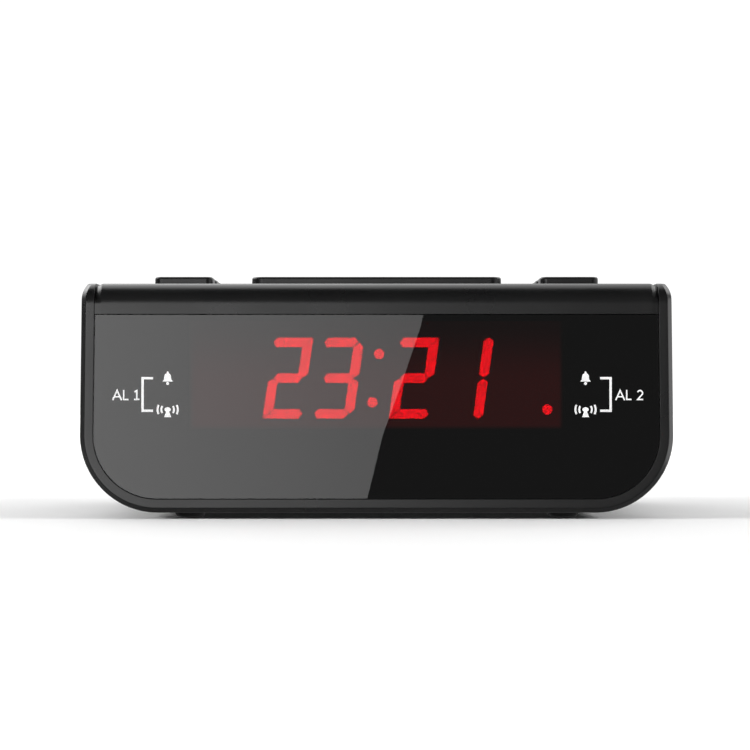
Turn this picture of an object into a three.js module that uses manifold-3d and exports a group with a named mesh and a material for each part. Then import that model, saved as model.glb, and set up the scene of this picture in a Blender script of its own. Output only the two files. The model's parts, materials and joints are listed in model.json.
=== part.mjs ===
// A low, wide mains clock radio with a red LED display, as an assembly of separate parts.
// Millimetres. +X is to the right seen from the front, -Y is the front, +Z is up.
// The origin is the middle of the footprint, on the surface that the feet stand on.
import * as THREE from "three";
import { mergeVertices } from "three/addons/utils/BufferGeometryUtils.js";
import Module from "manifold-3d";

const wasm = await Module();
wasm.setup();

// ---------------------------------------------------------------- driving dimensions

const WIDTH = 168; // across the widest part of the case
const TOP_WIDTH = 167; // the sides lean in a little towards the top
const DEPTH = 122; // front face to rear face
const FOOT_HEIGHT = 1.7;
const TOP_Z = 66.7; // the flat top
const CORNER = 22; // radius of the two lower corners
const SHOULDER = { x: 2.1, z: 5 }; // the sides curve in below the flat top
const NOSE = 6; // radius of the long upper edges, front and rear
const EDGE = 1.3; // rounding round the front and rear outlines
const WALL = 2.4;
const RIM = 3.9; // width of the rim that shows round the front lens
const FLANGE = 4; // how far the rim reaches back
const GAP = 0.2; // moulding gap between two covers

const FRONT_Y = -DEPTH / 2;
const REAR_Y = DEPTH / 2;
const SIDE_X = WIDTH / 2;
const FLOOR_Z = FOOT_HEIGHT + WALL; // inner face of the case's floor
const LENS_TOP = 57.9; // where the top cover's front ends and the lens begins
const COVER_WALL = 2.2;
const COVER_X = SIDE_X - RIM - GAP - 0.3; // half the top cover's width
const UNDER_COVER = TOP_Z - COVER_WALL; // inner face of the top cover

const KEY = { x: 16.7, y: 12.5, corner: 2 };
const KEY_X = 55.4; // middle of each outer column of keys
const KEY_ROWS = [-41.75, -21.55, -1.35]; // front, middle, rear
const SNOOZE = { x: 71.8, y: 32.7, corner: 3.2, middleY: -31.65 };
const KEY_TOP = 69.1;
const KEY_SLACK = 0.35; // round a key, in its well

const SPEAKER = { y: 30.5, radius: 25.5, grille: 22.5, slot: 1.8, pitch: 3.75 };

const DISPLAY = { x: 106.2, z: 31.2, middleZ: 40.5 };
const DIGIT = { height: 22.86, width: 11.6, bar: 2.65, slant: THREE.MathUtils.degToRad(8) };
const DIGIT_X = [-32.24, -17.5, 3.46, 18.2]; // lower left corner of each digit
const DIGIT_Z = 28.35; // foot of the digits
const COLON = { x: -1.3, low: 32.95, high: 46.6, radius: 1.4 };
const LAMP = { x: 48.3, zs: [30.9, 39.7], radius: 1.45 }; // alarm indicators, each side

const FOOT = { x: 53.6, y: 46, top: 4.4, bottom: 3.1 };
const SCREW = { x: 70.5, ys: [-30, 36], head: 2.9, shank: 1.4 };
const SCREW_SHELF = { low: 18, high: 22 }; // the web that each screw head pulls on

const BAY = { y: 24, x: 25.6, half: 13.9, top: 15.9 }; // battery bay, inside
const DOOR = { x: 26.9, half: 12.1, thick: 1.8, slack: 0.4 };
const CELL = { radius: 5.25, length: 44.5, nub: 1, z: 9.7 };

const JACK = { x: -50, z: 19.3, barrel: 4.6, bore: 3, pin: 0.95 };
const GROMMET = { x: 50, z: 19.3, barrel: 2.6 };
const MAIN_BOARD = { z: 12, thick: 1.6 };
const KEY_BOARD = { z: 55.4, thick: 1.6 };

// ---------------------------------------------------------------- materials

const finish = (color, roughness, metalness = 0) =>
  new THREE.MeshStandardMaterial({ color, roughness, metalness });

const satinBlack = finish(0x141414, 0.42);
const glossBlack = finish(0x0b0b0b, 0.06);
const keyBlack = finish(0x161616, 0.38);
const innerBlack = finish(0x1b1b1b, 0.6);
const rubber = finish(0x0d0d0d, 0.85);
const redFilm = finish(0x3a0508, 0.3);
const reflectorGrey = finish(0x2a2626, 0.5);
const boardGreen = finish(0x1e5a34, 0.45);
const chipBlack = finish(0x121212, 0.5);
const steel = finish(0xb8bcc0, 0.35, 1);
const springSteel = finish(0xc8ccd0, 0.25, 1);
const ferrite = finish(0x35363a, 0.55, 0.4);
const conePaper = finish(0x22211f, 0.9);
const plungerWhite = finish(0xd9d6cc, 0.5);
const cellWrap = finish(0x2f5f8f, 0.35);
const cableGrey = finish(0x8d9095, 0.6);

// ---------------------------------------------------------------- solids

// A closed three.js geometry as a manifold solid.
function solid(geometry) {
  const bare = geometry.index ? geometry.toNonIndexed() : geometry.clone();
  bare.deleteAttribute("normal");
  bare.deleteAttribute("uv");
  const merged = mergeVertices(bare, 1e-4);
  return new wasm.Manifold(
    new wasm.Mesh({
      numProp: 3,
      vertProperties: new Float32Array(merged.attributes.position.array),
      triVerts: new Uint32Array(merged.index.array),
    }),
  );
}

function geometryOf(body) {
  const mesh = body.getMesh();
  const positions = new Float32Array(mesh.numVert * 3);
  for (let i = 0; i < mesh.numVert; i++) {
    positions.set(mesh.vertProperties.subarray(i * mesh.numProp, i * mesh.numProp + 3), i * 3);
  }
  const geometry = new THREE.BufferGeometry();
  geometry.setAttribute("position", new THREE.BufferAttribute(positions, 3));
  geometry.setIndex(new THREE.BufferAttribute(new Uint32Array(mesh.triVerts), 1));
  geometry.computeVertexNormals();
  return geometry;
}

// A cuboid from its lowest and highest corners.
function block([x0, y0, z0], [x1, y1, z1]) {
  const geometry = new THREE.BoxGeometry(x1 - x0, y1 - y0, z1 - z0);
  geometry.translate((x0 + x1) / 2, (y0 + y1) / 2, (z0 + z1) / 2);
  return solid(geometry);
}

// An upright cylinder or cone frustum from z0 to z1.
function post(x, y, z0, z1, radius, { top = radius, sides = 16 } = {}) {
  const geometry = new THREE.CylinderGeometry(top, radius, z1 - z0, sides);
  geometry.rotateX(Math.PI / 2);
  geometry.translate(x, y, (z0 + z1) / 2);
  return solid(geometry);
}

// A cylinder along Y from y0 to y1.
function rodY(x, z, y0, y1, radius, sides = 20) {
  const geometry = new THREE.CylinderGeometry(radius, radius, y1 - y0, sides);
  geometry.translate(x, (y0 + y1) / 2, z);
  return solid(geometry);
}

// A cylinder along X from x0 to x1.
function rodX(y, z, x0, x1, radius, sides = 24) {
  const geometry = new THREE.CylinderGeometry(radius, radius, x1 - x0, sides);
  geometry.rotateZ(Math.PI / 2);
  geometry.translate((x0 + x1) / 2, y, z);
  return solid(geometry);
}

// A shape drawn in (x, z) and carried along Y. A bevel rounds its outer edges, front and rear.
function alongY(shape, y0, y1, bevel = 0, curveSegments = 8) {
  const geometry = new THREE.ExtrudeGeometry(shape, {
    depth: y1 - y0 - 2 * bevel,
    bevelEnabled: bevel > 0,
    bevelSize: bevel,
    bevelThickness: bevel,
    bevelOffset: -bevel,
    bevelSegments: 2,
    curveSegments,
  });
  geometry.rotateX(Math.PI / 2);
  geometry.translate(0, y1 - bevel, 0);
  return solid(geometry);
}

// A shape drawn in (y, z) and carried along X, with an optional chamfer at both ends.
function alongX(shape, x0, x1, chamfer = 0) {
  const geometry = new THREE.ExtrudeGeometry(shape, {
    depth: x1 - x0 - 2 * chamfer,
    bevelEnabled: chamfer > 0,
    bevelSize: chamfer,
    bevelThickness: chamfer,
    bevelOffset: -chamfer,
    bevelSegments: 1,
    curveSegments: 6,
  });
  const axes = new THREE.Matrix4().makeBasis(
    new THREE.Vector3(0, 1, 0),
    new THREE.Vector3(0, 0, 1),
    new THREE.Vector3(1, 0, 0),
  );
  geometry.applyMatrix4(axes);
  geometry.translate(x0 + chamfer, 0, 0);
  return solid(geometry);
}

// A shape drawn in (x, y) and carried up Z. A bevel rounds its upper and lower edges.
function upwards(shape, z0, z1, bevel = 0, curveSegments = 3) {
  const geometry = new THREE.ExtrudeGeometry(shape, {
    depth: z1 - z0 - 2 * bevel,
    bevelEnabled: bevel > 0,
    bevelSize: bevel,
    bevelThickness: bevel,
    bevelOffset: -bevel,
    bevelSegments: 2,
    curveSegments,
  });
  geometry.translate(0, 0, z0 + bevel);
  return solid(geometry);
}

// A profile of [radius, z] points turned about an upright axis. It starts and ends on the axis,
// or closes on itself, and runs anticlockwise with the axis on its left.
function turned(profile, sides = 24) {
  const points = profile.map(([r, z]) => new THREE.Vector2(r, z));
  const geometry = new THREE.LatheGeometry(points, sides);
  geometry.rotateX(Math.PI / 2);
  return solid(geometry);
}

function roundedRect(width, height, radius, x = 0, y = 0) {
  const shape = new THREE.Shape();
  const [a, b] = [width / 2 - radius, height / 2 - radius];
  shape.moveTo(x - a, y - height / 2);
  shape.lineTo(x + a, y - height / 2);
  shape.absarc(x + a, y - b, radius, -Math.PI / 2, 0, false);
  shape.absarc(x + a, y + b, radius, 0, Math.PI / 2, false);
  shape.absarc(x - a, y + b, radius, Math.PI / 2, Math.PI, false);
  shape.absarc(x - a, y - b, radius, Math.PI, 1.5 * Math.PI, false);
  return shape;
}

// ---------------------------------------------------------------- outlines of the case

// The case's outline in (x, z), moved in by inset, with big lower corners and a slight taper.
// It ends at a flat top at height top, or where shoulders is true it curves in to TOP_Z along a
// parabola, which meets the flat top at a clear corner.
function caseOutline(inset, top, shoulders = false) {
  const shape = new THREE.Shape();
  const [cx, cz] = [SIDE_X - CORNER, FOOT_HEIGHT + CORNER];
  const radius = CORNER - inset;
  const lean = (z) => ((SIDE_X - TOP_WIDTH / 2) * (z - cz)) / (TOP_Z - cz);
  const high = shoulders ? TOP_Z - SHOULDER.z : top;
  const highX = SIDE_X - inset - lean(high);
  shape.moveTo(-cx, cz - radius);
  shape.lineTo(cx, cz - radius);
  shape.absarc(cx, cz, radius, -Math.PI / 2, 0, false);
  shape.lineTo(highX, high);
  if (shoulders) {
    const middle = TOP_Z - SHOULDER.z / 2;
    shape.quadraticCurveTo(highX, middle, highX - SHOULDER.x, TOP_Z);
    shape.lineTo(SHOULDER.x - highX, TOP_Z);
    shape.quadraticCurveTo(-highX, middle, -highX, high);
  } else {
    shape.lineTo(-highX, top);
  }
  shape.absarc(-cx, cz, radius, Math.PI, 1.5 * Math.PI, false);
  return shape;
}

// The side view in (y, z), moved in by inset: upright front and rear, rounded long upper edges.
function sideProfile(inset, bottom) {
  const shape = new THREE.Shape();
  const radius = NOSE - inset;
  const [cy, cz] = [REAR_Y - NOSE, TOP_Z - NOSE];
  shape.moveTo(-cy - radius, bottom);
  shape.lineTo(cy + radius, bottom);
  shape.absarc(cy, cz, radius, 0, Math.PI / 2, false);
  shape.absarc(-cy, cz, radius, Math.PI / 2, Math.PI, false);
  return shape;
}

// ---------------------------------------------------------------- the covers

const screwSpots = SCREW.ys.flatMap((y) => [-1, 1].map((side) => [side * SCREW.x, y]));

// The tray that the clock is built in: floor, both sides and the rim round the lens, in one
// moulding. Its screw posts, board pegs and battery opening are part of it.
function lowerCase() {
  const outer = alongY(caseOutline(0, TOP_Z, true), FRONT_Y, REAR_Y, EDGE).intersect(
    alongX(sideProfile(0, -1), -SIDE_X - 1, SIDE_X + 1),
  );
  const posts = screwSpots.map(([x, y]) =>
    outer.intersect(post(x, y, 0, SCREW_SHELF.high, 4.2)),
  );
  const pegs = [
    [-58, -38],
    [58, -38],
    [-58, -4],
    [58, -4],
    [-58, 44],
  ].map(([x, y]) => post(x, y, FLOOR_Z - 0.5, MAIN_BOARD.z - GAP, 2.6, { sides: 12 }));
  const hollow = alongY(caseOutline(WALL, TOP_Z - 4), FRONT_Y + FLANGE, REAR_Y - FLANGE);
  const opening = alongY(openingOutline(), FRONT_Y - 1, REAR_Y + 1);
  let body = outer.subtract(hollow).subtract(opening);
  for (const part of [...posts, ...pegs]) body = body.add(part);
  for (const [x, y] of screwSpots) {
    body = body
      .subtract(post(x, y, 0, SCREW_SHELF.low, 3.3))
      .subtract(post(x, y, 0, SCREW_SHELF.high + 1, 1.7, { sides: 12 }));
  }
  const { x, half, slack } = DOOR;
  const doorway = block(
    [-x - slack, BAY.y - half - slack, 0],
    [x + slack, BAY.y + half + slack, FLOOR_Z + 1],
  );
  return body.subtract(doorway);
}

// The hole through the rim: it runs up between the sides, and flares at the top so that a
// shallow groove shows along each side of the top cover.
function openingOutline() {
  const groove = 0.8;
  const shape = new THREE.Shape();
  const [cx, cz] = [SIDE_X - CORNER, FOOT_HEIGHT + CORNER];
  const radius = CORNER - RIM;
  const edge = COVER_X + GAP;
  shape.moveTo(-cx, cz - radius);
  shape.lineTo(cx, cz - radius);
  shape.absarc(cx, cz, radius, -Math.PI / 2, 0, false);
  shape.lineTo(edge, TOP_Z - groove);
  shape.lineTo(edge + groove + 1, TOP_Z + 1);
  shape.lineTo(-edge - groove - 1, TOP_Z + 1);
  shape.lineTo(-edge, TOP_Z - groove);
  shape.lineTo(-cx - radius, cz);
  shape.absarc(-cx, cz, radius, Math.PI, 1.5 * Math.PI, false);
  return shape;
}

// The lid: a shallow box turned upside down, with a rounded front that hangs over the lens,
// a well for each key, slots over the speaker, and bosses for the case screws.
function topCover() {
  let body = alongX(sideProfile(0, LENS_TOP), -COVER_X, COVER_X, 0.7);
  body = body.subtract(
    alongX(sideProfile(COVER_WALL, LENS_TOP - 1), -COVER_X + COVER_WALL, COVER_X - COVER_WALL),
  );
  const well = (width, depth, corner, x, y) =>
    upwards(
      roundedRect(width + 2 * KEY_SLACK, depth + 2 * KEY_SLACK, corner + KEY_SLACK, x, y),
      UNDER_COVER - 1,
      TOP_Z + 1,
    );
  body = body.subtract(well(SNOOZE.x, SNOOZE.y, SNOOZE.corner, 0, SNOOZE.middleY));
  for (const y of KEY_ROWS) {
    for (const side of [-1, 1]) {
      body = body.subtract(well(KEY.x, KEY.y, KEY.corner, side * KEY_X, y));
    }
  }
  const rows = Math.floor(SPEAKER.grille / SPEAKER.pitch) - 1;
  for (let row = -rows; row <= rows; row++) {
    const offset = row * SPEAKER.pitch;
    const length = 2 * Math.sqrt(SPEAKER.grille ** 2 - offset ** 2);
    const slot = roundedRect(length, SPEAKER.slot, SPEAKER.slot / 2 - 0.01, 0, SPEAKER.y + offset);
    body = body.subtract(upwards(slot, UNDER_COVER - 1, TOP_Z + 1, 0, 2));
  }
  const collar = turned([
    [SPEAKER.radius + 0.4, 60],
    [SPEAKER.radius + 1.8, 60],
    [SPEAKER.radius + 1.8, UNDER_COVER + 0.5],
    [SPEAKER.radius + 0.4, UNDER_COVER + 0.5],
    [SPEAKER.radius + 0.4, 60],
  ]).translate([0, SPEAKER.y, 0]);
  body = body.add(collar);
  for (const [x, y] of screwSpots) {
    body = body
      .add(post(x, y, SCREW_SHELF.high + 0.3, UNDER_COVER + 0.5, 3.5))
      .subtract(post(x, y, SCREW_SHELF.high - 1, 40, SCREW.shank + 0.2, { sides: 12 }));
  }
  return body;
}

// The plate that closes the back, with its socket hole, aerial hole and cooling slots.
function rearPanel() {
  let body = alongY(caseOutline(RIM + GAP, LENS_TOP - GAP), REAR_Y - 2.6, REAR_Y - GAP);
  body = body
    .subtract(rodY(JACK.x, JACK.z, REAR_Y - 4, REAR_Y + 1, JACK.barrel + 0.3))
    .subtract(rodY(GROMMET.x, GROMMET.z, REAR_Y - 4, REAR_Y + 1, GROMMET.barrel + 0.2));
  for (let slot = -5; slot <= 5; slot++) {
    const x = slot * 5;
    body = body.subtract(block([x - 0.9, REAR_Y - 4, 34], [x + 0.9, REAR_Y + 1, 48]));
  }
  return body;
}

// The smoked window: a flat acrylic plate that fills the rim.
function frontLens() {
  return alongY(caseOutline(RIM + GAP, LENS_TOP - GAP), FRONT_Y + GAP, FRONT_Y + 2.2);
}

// A slab the size of the display window, grown by grow all round.
function displaySlab(grow, y0, y1) {
  const [halfX, halfZ] = [DISPLAY.x / 2 + grow, DISPLAY.z / 2 + grow];
  return block([-halfX, y0, DISPLAY.middleZ - halfZ], [halfX, y1, DISPLAY.middleZ + halfZ]);
}

// The inner frame that the lens is stuck to. The display stands in its window.
function frontBezel() {
  const plate = alongY(caseOutline(WALL + 0.3, LENS_TOP - 0.3), FRONT_Y + 4.1, FRONT_Y + 5.5);
  const tab = block([-76, FRONT_Y + 4.1, 50], [76, FRONT_Y + 5.5, 62]);
  const platform = alongY(caseOutline(RIM + 0.4, LENS_TOP - 0.5), FRONT_Y + 2.4, FRONT_Y + 4.2);
  return plate.add(tab).add(platform).subtract(displaySlab(0.2, FRONT_Y, FRONT_Y + 8));
}

// ---------------------------------------------------------------- the display

// The seven bars of a digit as outlines in (x, z), pointed at both ends and leaning over.
function digitBars(left, bottom) {
  const { height, width, bar, slant } = DIGIT;
  const [half, seam] = [bar / 2, 0.2];
  const across = (z) => {
    const [a, b] = [half + seam, width - half - seam];
    return [
      [a, z],
      [a + half, z - half],
      [b - half, z - half],
      [b, z],
      [b - half, z + half],
      [a + half, z + half],
    ];
  };
  const upright = (x, low, high) => [
    [x, low + seam],
    [x + half, low + half + seam],
    [x + half, high - half - seam],
    [x, high - seam],
    [x - half, high - half - seam],
    [x - half, low + half + seam],
  ];
  const levels = [half, height / 2, height - half];
  const bars = levels.map(across);
  for (const x of [half, width - half]) {
    bars.push(upright(x, levels[0], levels[1]), upright(x, levels[1], levels[2]));
  }
  return bars.map((points) => {
    const shape = new THREE.Shape();
    shape.setFromPoints(
      points.map(([x, z]) => new THREE.Vector2(left + x + z * Math.tan(slant), bottom + z)),
    );
    return shape;
  });
}

// The display block: a moulding with a light well for every bar, the colon and the lamps.
function displayReflector() {
  const face = FRONT_Y + 2.7;
  let body = displaySlab(-0.2, face, FRONT_Y + 11.3);
  const wells = DIGIT_X.flatMap((x) => digitBars(x, DIGIT_Z));
  for (const shape of wells) body = body.subtract(alongY(shape, face - 1, face + 1.2));
  const dots = [
    [COLON.x, COLON.low, COLON.radius],
    [COLON.x + (COLON.high - COLON.low) * Math.tan(DIGIT.slant), COLON.high, COLON.radius],
  ];
  for (const side of [-1, 1]) {
    for (const z of LAMP.zs) dots.push([side * LAMP.x, z, LAMP.radius]);
  }
  for (const [x, z, radius] of dots) {
    body = body.subtract(rodY(x, z, face - 1, face + 1.2, radius, 12));
  }
  return body;
}

function displayFilter() {
  return displaySlab(-0.2, FRONT_Y + 2.35, FRONT_Y + 2.6);
}

function displayBoard() {
  return block([-56, FRONT_Y + 11.4, 21], [56, FRONT_Y + 13, 57]);
}

// ---------------------------------------------------------------- keys and switches

// A key cap with a flange under the cover that stops it lifting out, and a post that meets
// its switch. Drawn about its own middle.
function keyCap(width, depth, corner) {
  const cap = upwards(roundedRect(width, depth, corner), UNDER_COVER - 1.5, KEY_TOP, 0.9);
  const flange = upwards(
    roundedRect(width + 2.4, depth + 2.4, corner + 1.2),
    UNDER_COVER - 1.7,
    UNDER_COVER - 0.3,
  );
  return cap.add(flange).add(post(0, 0, 61.9, UNDER_COVER - 1.6, 2, { sides: 10 }));
}

function switchHousing() {
  const top = KEY_BOARD.z + KEY_BOARD.thick + 0.02;
  return block([-3, -3, top], [3, 3, top + 3.5]).subtract(
    post(0, 0, top + 1.1, top + 4, 1.8, { sides: 12 }),
  );
}

function switchPlunger() {
  return post(0, 0, 58.8, 61.8, 1.6, { sides: 12 });
}

// ---------------------------------------------------------------- speaker

function speakerFrame() {
  const { radius } = SPEAKER;
  const top = UNDER_COVER - 0.3;
  return turned([
    [radius - 3.5, top - 1],
    [13.5, 52.6],
    [13.5, 51],
    [15.4, 51],
    [radius - 1.4, top - 2.4],
    [radius, top - 2.4],
    [radius, top],
    [radius - 3.5, top],
    [radius - 3.5, top - 1],
  ]);
}

function speakerMagnet() {
  return turned([
    [0, 42.6],
    [14.2, 42.6],
    [14.2, 43.8],
    [16, 43.8],
    [16, 49.2],
    [14.2, 49.2],
    [14.2, 50.7],
    [0, 50.7],
  ]);
}

function speakerCone() {
  return turned([
    [7.6, 55],
    [8.6, 55],
    [18.4, 61],
    [19, 62.2],
    [20.4, 62.2],
    [20.4, 62.8],
    [18.8, 62.8],
    [18.1, 61.6],
    [7.6, 55.8],
    [7.6, 55],
  ]);
}

function dustCap() {
  return turned([
    [0, 56.4],
    [7, 56.4],
    [6, 57.8],
    [3.6, 58.8],
    [0, 59.2],
  ]);
}

// ---------------------------------------------------------------- boards and what is on them

function mainBoard() {
  const outline = new THREE.Shape();
  outline.setFromPoints(
    [
      [-64, -44],
      [64, -44],
      [64, 2],
      [-34, 2],
      [-34, 50],
      [-64, 50],
    ].map(([x, y]) => new THREE.Vector2(x, y)),
  );
  return upwards(outline, MAIN_BOARD.z, MAIN_BOARD.z + MAIN_BOARD.thick);
}

function keyBoard() {
  return block([-65, -47, KEY_BOARD.z], [65, 6, KEY_BOARD.z + KEY_BOARD.thick]);
}

const ON_BOARD = MAIN_BOARD.z + MAIN_BOARD.thick + 0.05;

function filterCapacitor() {
  return turned([
    [0, 0],
    [4.6, 0],
    [5, 0.5],
    [5, 2],
    [4.6, 2.4],
    [5, 2.8],
    [5, 15.6],
    [4.6, 16],
    [0, 16],
  ]);
}

// A power transistor bolted upright to a finned plate.
function voltageRegulator() {
  let body = block([-5, 0, 0], [5, 4.4, 9]).add(block([-7, 4.3, 0], [7, 6, 20]));
  for (const x of [-6.2, -2.2, 2.2, 6.2]) {
    body = body.add(block([x - 0.6, 5.9, 0], [x + 0.6, 11, 20]));
  }
  return body;
}

// The flat cable from the main board up to the back of the display board.
function ribbonCable() {
  const [board, display] = [ON_BOARD, FRONT_Y + 13.1];
  const strip = new THREE.Shape();
  strip.setFromPoints(
    [
      [-41, board],
      [-38, board],
      [-38, board + 5],
      [-40, 24],
      [display, 27],
      [display, 26],
      [-41, 23.2],
      [-39, board + 4.6],
      [-39, board + 1],
      [-41, board + 1],
    ].map(([y, z]) => new THREE.Vector2(y, z)),
  );
  return alongX(strip, -12, 12);
}

// The twin lead that joins the speaker to the main board.
function speakerLead() {
  const route = new THREE.CatmullRomCurve3(
    [
      [17.5, 26, 46],
      [24, 18, 44],
      [31, 6, 36],
      [34, -4, 25],
      [34, -8, 15],
    ].map((p) => new THREE.Vector3(...p)),
  );
  const section = roundedRect(2.4, 1.2, 0.5);
  const geometry = new THREE.ExtrudeGeometry(section, {
    steps: 14,
    extrudePath: route,
    curveSegments: 1,
    bevelEnabled: false,
  });
  return solid(geometry);
}

// ---------------------------------------------------------------- sockets

function dcJack() {
  const back = REAR_Y - 3;
  const { x, z, barrel, bore, pin } = JACK;
  return block([x - 5, back - 12, ON_BOARD], [x + 5, back, z + 5.2])
    .add(rodY(x, z, back - 1, REAR_Y - 0.1, barrel))
    .subtract(rodY(x, z, back - 9, REAR_Y + 1, bore))
    .add(rodY(x, z, back - 9.5, REAR_Y - 1, pin, 12));
}

function aerialGrommet() {
  const { x, z, barrel } = GROMMET;
  return rodY(x, z, REAR_Y - 3, REAR_Y, barrel)
    .add(rodY(x, z, REAR_Y - 4.2, REAR_Y - 2.8, barrel + 1.2))
    .subtract(rodY(x, z, REAR_Y - 6, REAR_Y + 1, 0.8, 12));
}

// ---------------------------------------------------------------- battery bay

function batteryBox() {
  const { y, x, half, top } = BAY;
  const skin = 1.4;
  const low = FLOOR_Z + 0.1;
  return block([-x - skin, y - half - skin, low], [x + skin, y + half + skin, top + skin]).subtract(
    block([-x, y - half, low - 1], [x, y + half, top]),
  );
}

// The door: flush with the underside, two hooks at its front edge, a spring tongue at its rear
// edge, and a finger notch cut in beside the tongue.
function batteryDoor() {
  const { x, half, thick } = DOOR;
  const [y0, y1] = [BAY.y - half, BAY.y + half];
  const inside = FLOOR_Z + 0.25;
  const low = FOOT_HEIGHT;
  let body = block([-x, y0, low], [x, y1, low + thick]);
  for (const side of [-1, 1]) {
    const middle = side * 17;
    const stem = block([middle - 3, y0 + 0.2, low + 1], [middle + 3, y0 + 2, inside + 0.9]);
    const hook = block([middle - 3, y0 - 1.3, inside], [middle + 3, y0 + 2, inside + 0.9]);
    body = body.add(stem).add(hook);
  }
  const tongue = block([-5, y1 - 1.4, low + 1], [5, y1 - 0.3, inside + 0.9]);
  const notch = block([-6, y1 - 4.4, low - 1], [6, y1 - 2.4, low + 0.9]);
  return body.add(tongue).subtract(notch);
}

// An AAA cell lying along X, its positive end towards +X.
function batteryCell() {
  const { radius, length, nub } = CELL;
  return rodX(0, 0, 0, length - nub, radius).add(
    rodX(0, 0, length - nub - 0.2, length, 1.9, 12),
  );
}

function batteryContact() {
  return block([-0.15, -11, -5.4], [0.15, 11, 4.8]);
}

// A tapering contact spring along X, wide at the contact plate.
function batterySpring() {
  const [turns, length, wire] = [3.5, 4.9, 0.35];
  const points = [];
  for (let i = 0; i <= turns * 10; i++) {
    const share = i / (turns * 10);
    const angle = 2 * Math.PI * turns * share;
    const radius = 3.6 - 1.6 * share;
    const along = wire + (length - 2 * wire) * share;
    points.push(new THREE.Vector3(along, radius * Math.cos(angle), radius * Math.sin(angle)));
  }
  const section = new THREE.Shape();
  section.absarc(0, 0, wire, 0, 2 * Math.PI, false);
  const geometry = new THREE.ExtrudeGeometry(section, {
    steps: points.length - 1,
    extrudePath: new THREE.CatmullRomCurve3(points),
    curveSegments: 3,
    bevelEnabled: false,
  });
  return solid(geometry);
}

// ---------------------------------------------------------------- feet and screws

function foot() {
  const { top, bottom } = FOOT;
  const height = FOOT_HEIGHT - 0.02;
  return turned([
    [0, 0],
    [bottom, 0],
    [bottom + 0.7, 0.4],
    [top, height],
    [0, height],
  ]);
}

// A pan-head screw, head down, with a cross recess in the head.
function caseScrew() {
  const top = SCREW_SHELF.low - 0.05;
  const low = top - 2;
  const slot = 0.45;
  return post(0, 0, low, top, SCREW.head - 0.4, { top: SCREW.head })
    .add(post(0, 0, top - 0.5, 33, SCREW.shank, { sides: 12 }))
    .subtract(block([-1.8, -slot, low - 1], [1.8, slot, low + 1.1]))
    .subtract(block([-slot, -1.8, low - 1], [slot, 1.8, low + 1.1]));
}

// ---------------------------------------------------------------- assembly

const clock = new THREE.Group();

function place(name, body, material, [x, y, z] = [0, 0, 0], parent = clock) {
  const mesh = new THREE.Mesh(geometryOf(body), material);
  mesh.name = name;
  mesh.position.set(x, y, z);
  parent.add(mesh);
  return mesh;
}

place("lower_case", lowerCase(), satinBlack);
place("top_cover", topCover(), satinBlack);
place("rear_panel", rearPanel(), satinBlack);
place("front_lens", frontLens(), glossBlack);
place("front_bezel", frontBezel(), innerBlack);

place("display_filter", displayFilter(), redFilm);
place("display_reflector", displayReflector(), reflectorGrey);
place("display_board", displayBoard(), boardGreen);

const rowNames = ["front", "middle", "rear"];
const keySpots = [["snooze", 0, SNOOZE.middleY]];
for (const [side, name] of [
  [-1, "left"],
  [1, "right"],
]) {
  KEY_ROWS.forEach((y, row) => keySpots.push([`${name}_${rowNames[row]}`, side * KEY_X, y]));
}
for (const [name, x, y] of keySpots) {
  const station = new THREE.Group();
  station.position.set(x, y, 0);
  clock.add(station);
  const cap =
    name === "snooze"
      ? keyCap(SNOOZE.x, SNOOZE.y, SNOOZE.corner)
      : keyCap(KEY.x, KEY.y, KEY.corner);
  place(`key_${name}`, cap, keyBlack, [0, 0, 0], station);
  place(`switch_${name}`, switchHousing(), chipBlack, [0, 0, 0], station);
  place(`plunger_${name}`, switchPlunger(), plungerWhite, [0, 0, 0], station);
}

const speaker = new THREE.Group();
speaker.position.set(0, SPEAKER.y, 0);
clock.add(speaker);
place("speaker_frame", speakerFrame(), steel, [0, 0, 0], speaker);
place("speaker_magnet", speakerMagnet(), ferrite, [0, 0, 0], speaker);
place("speaker_cone", speakerCone(), conePaper, [0, 0, 0], speaker);
place("speaker_dust_cap", dustCap(), conePaper, [0, 0, 0], speaker);

place("main_board", mainBoard(), boardGreen);
place("key_board", keyBoard(), boardGreen);
place("tuner_shield", block([-12, -9, 0], [12, 9, 6]), steel, [30, -22, ON_BOARD]);
place("clock_chip", block([-9, -3.8, 0], [9, 3.8, 2.6]), chipBlack, [-12, -22, ON_BOARD]);
place("filter_capacitor", filterCapacitor(), chipBlack, [-44, 14, ON_BOARD]);
place("voltage_regulator", voltageRegulator(), steel, [-48, -20, ON_BOARD]);
place("ribbon_cable", ribbonCable(), cableGrey);
place("speaker_lead", speakerLead(), cableGrey);

place("dc_jack", dcJack(), chipBlack);
place("aerial_grommet", aerialGrommet(), rubber);

place("battery_box", batteryBox(), innerBlack);
place("battery_door", batteryDoor(), satinBlack);
const cellStart = CELL.length / 2 - 2.65;
for (const [name, side] of [
  ["front", -1],
  ["rear", 1],
]) {
  // The rear cell and spring are turned end for end.
  const row = new THREE.Group();
  row.position.set(0, BAY.y + side * 5.6, CELL.z);
  row.rotation.z = side > 0 ? Math.PI : 0;
  clock.add(row);
  place(`battery_cell_${name}`, batteryCell(), cellWrap, [-cellStart - 0.1, 0, 0], row);
  place(`battery_spring_${name}`, batterySpring(), springSteel, [-BAY.x + 0.8, 0, 0], row);
}
for (const [name, side] of [
  ["left", -1],
  ["right", 1],
]) {
  const spot = [side * (BAY.x - 0.35), BAY.y, CELL.z + 0.5];
  place(`battery_contact_${name}`, batteryContact(), springSteel, spot);
}

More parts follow.
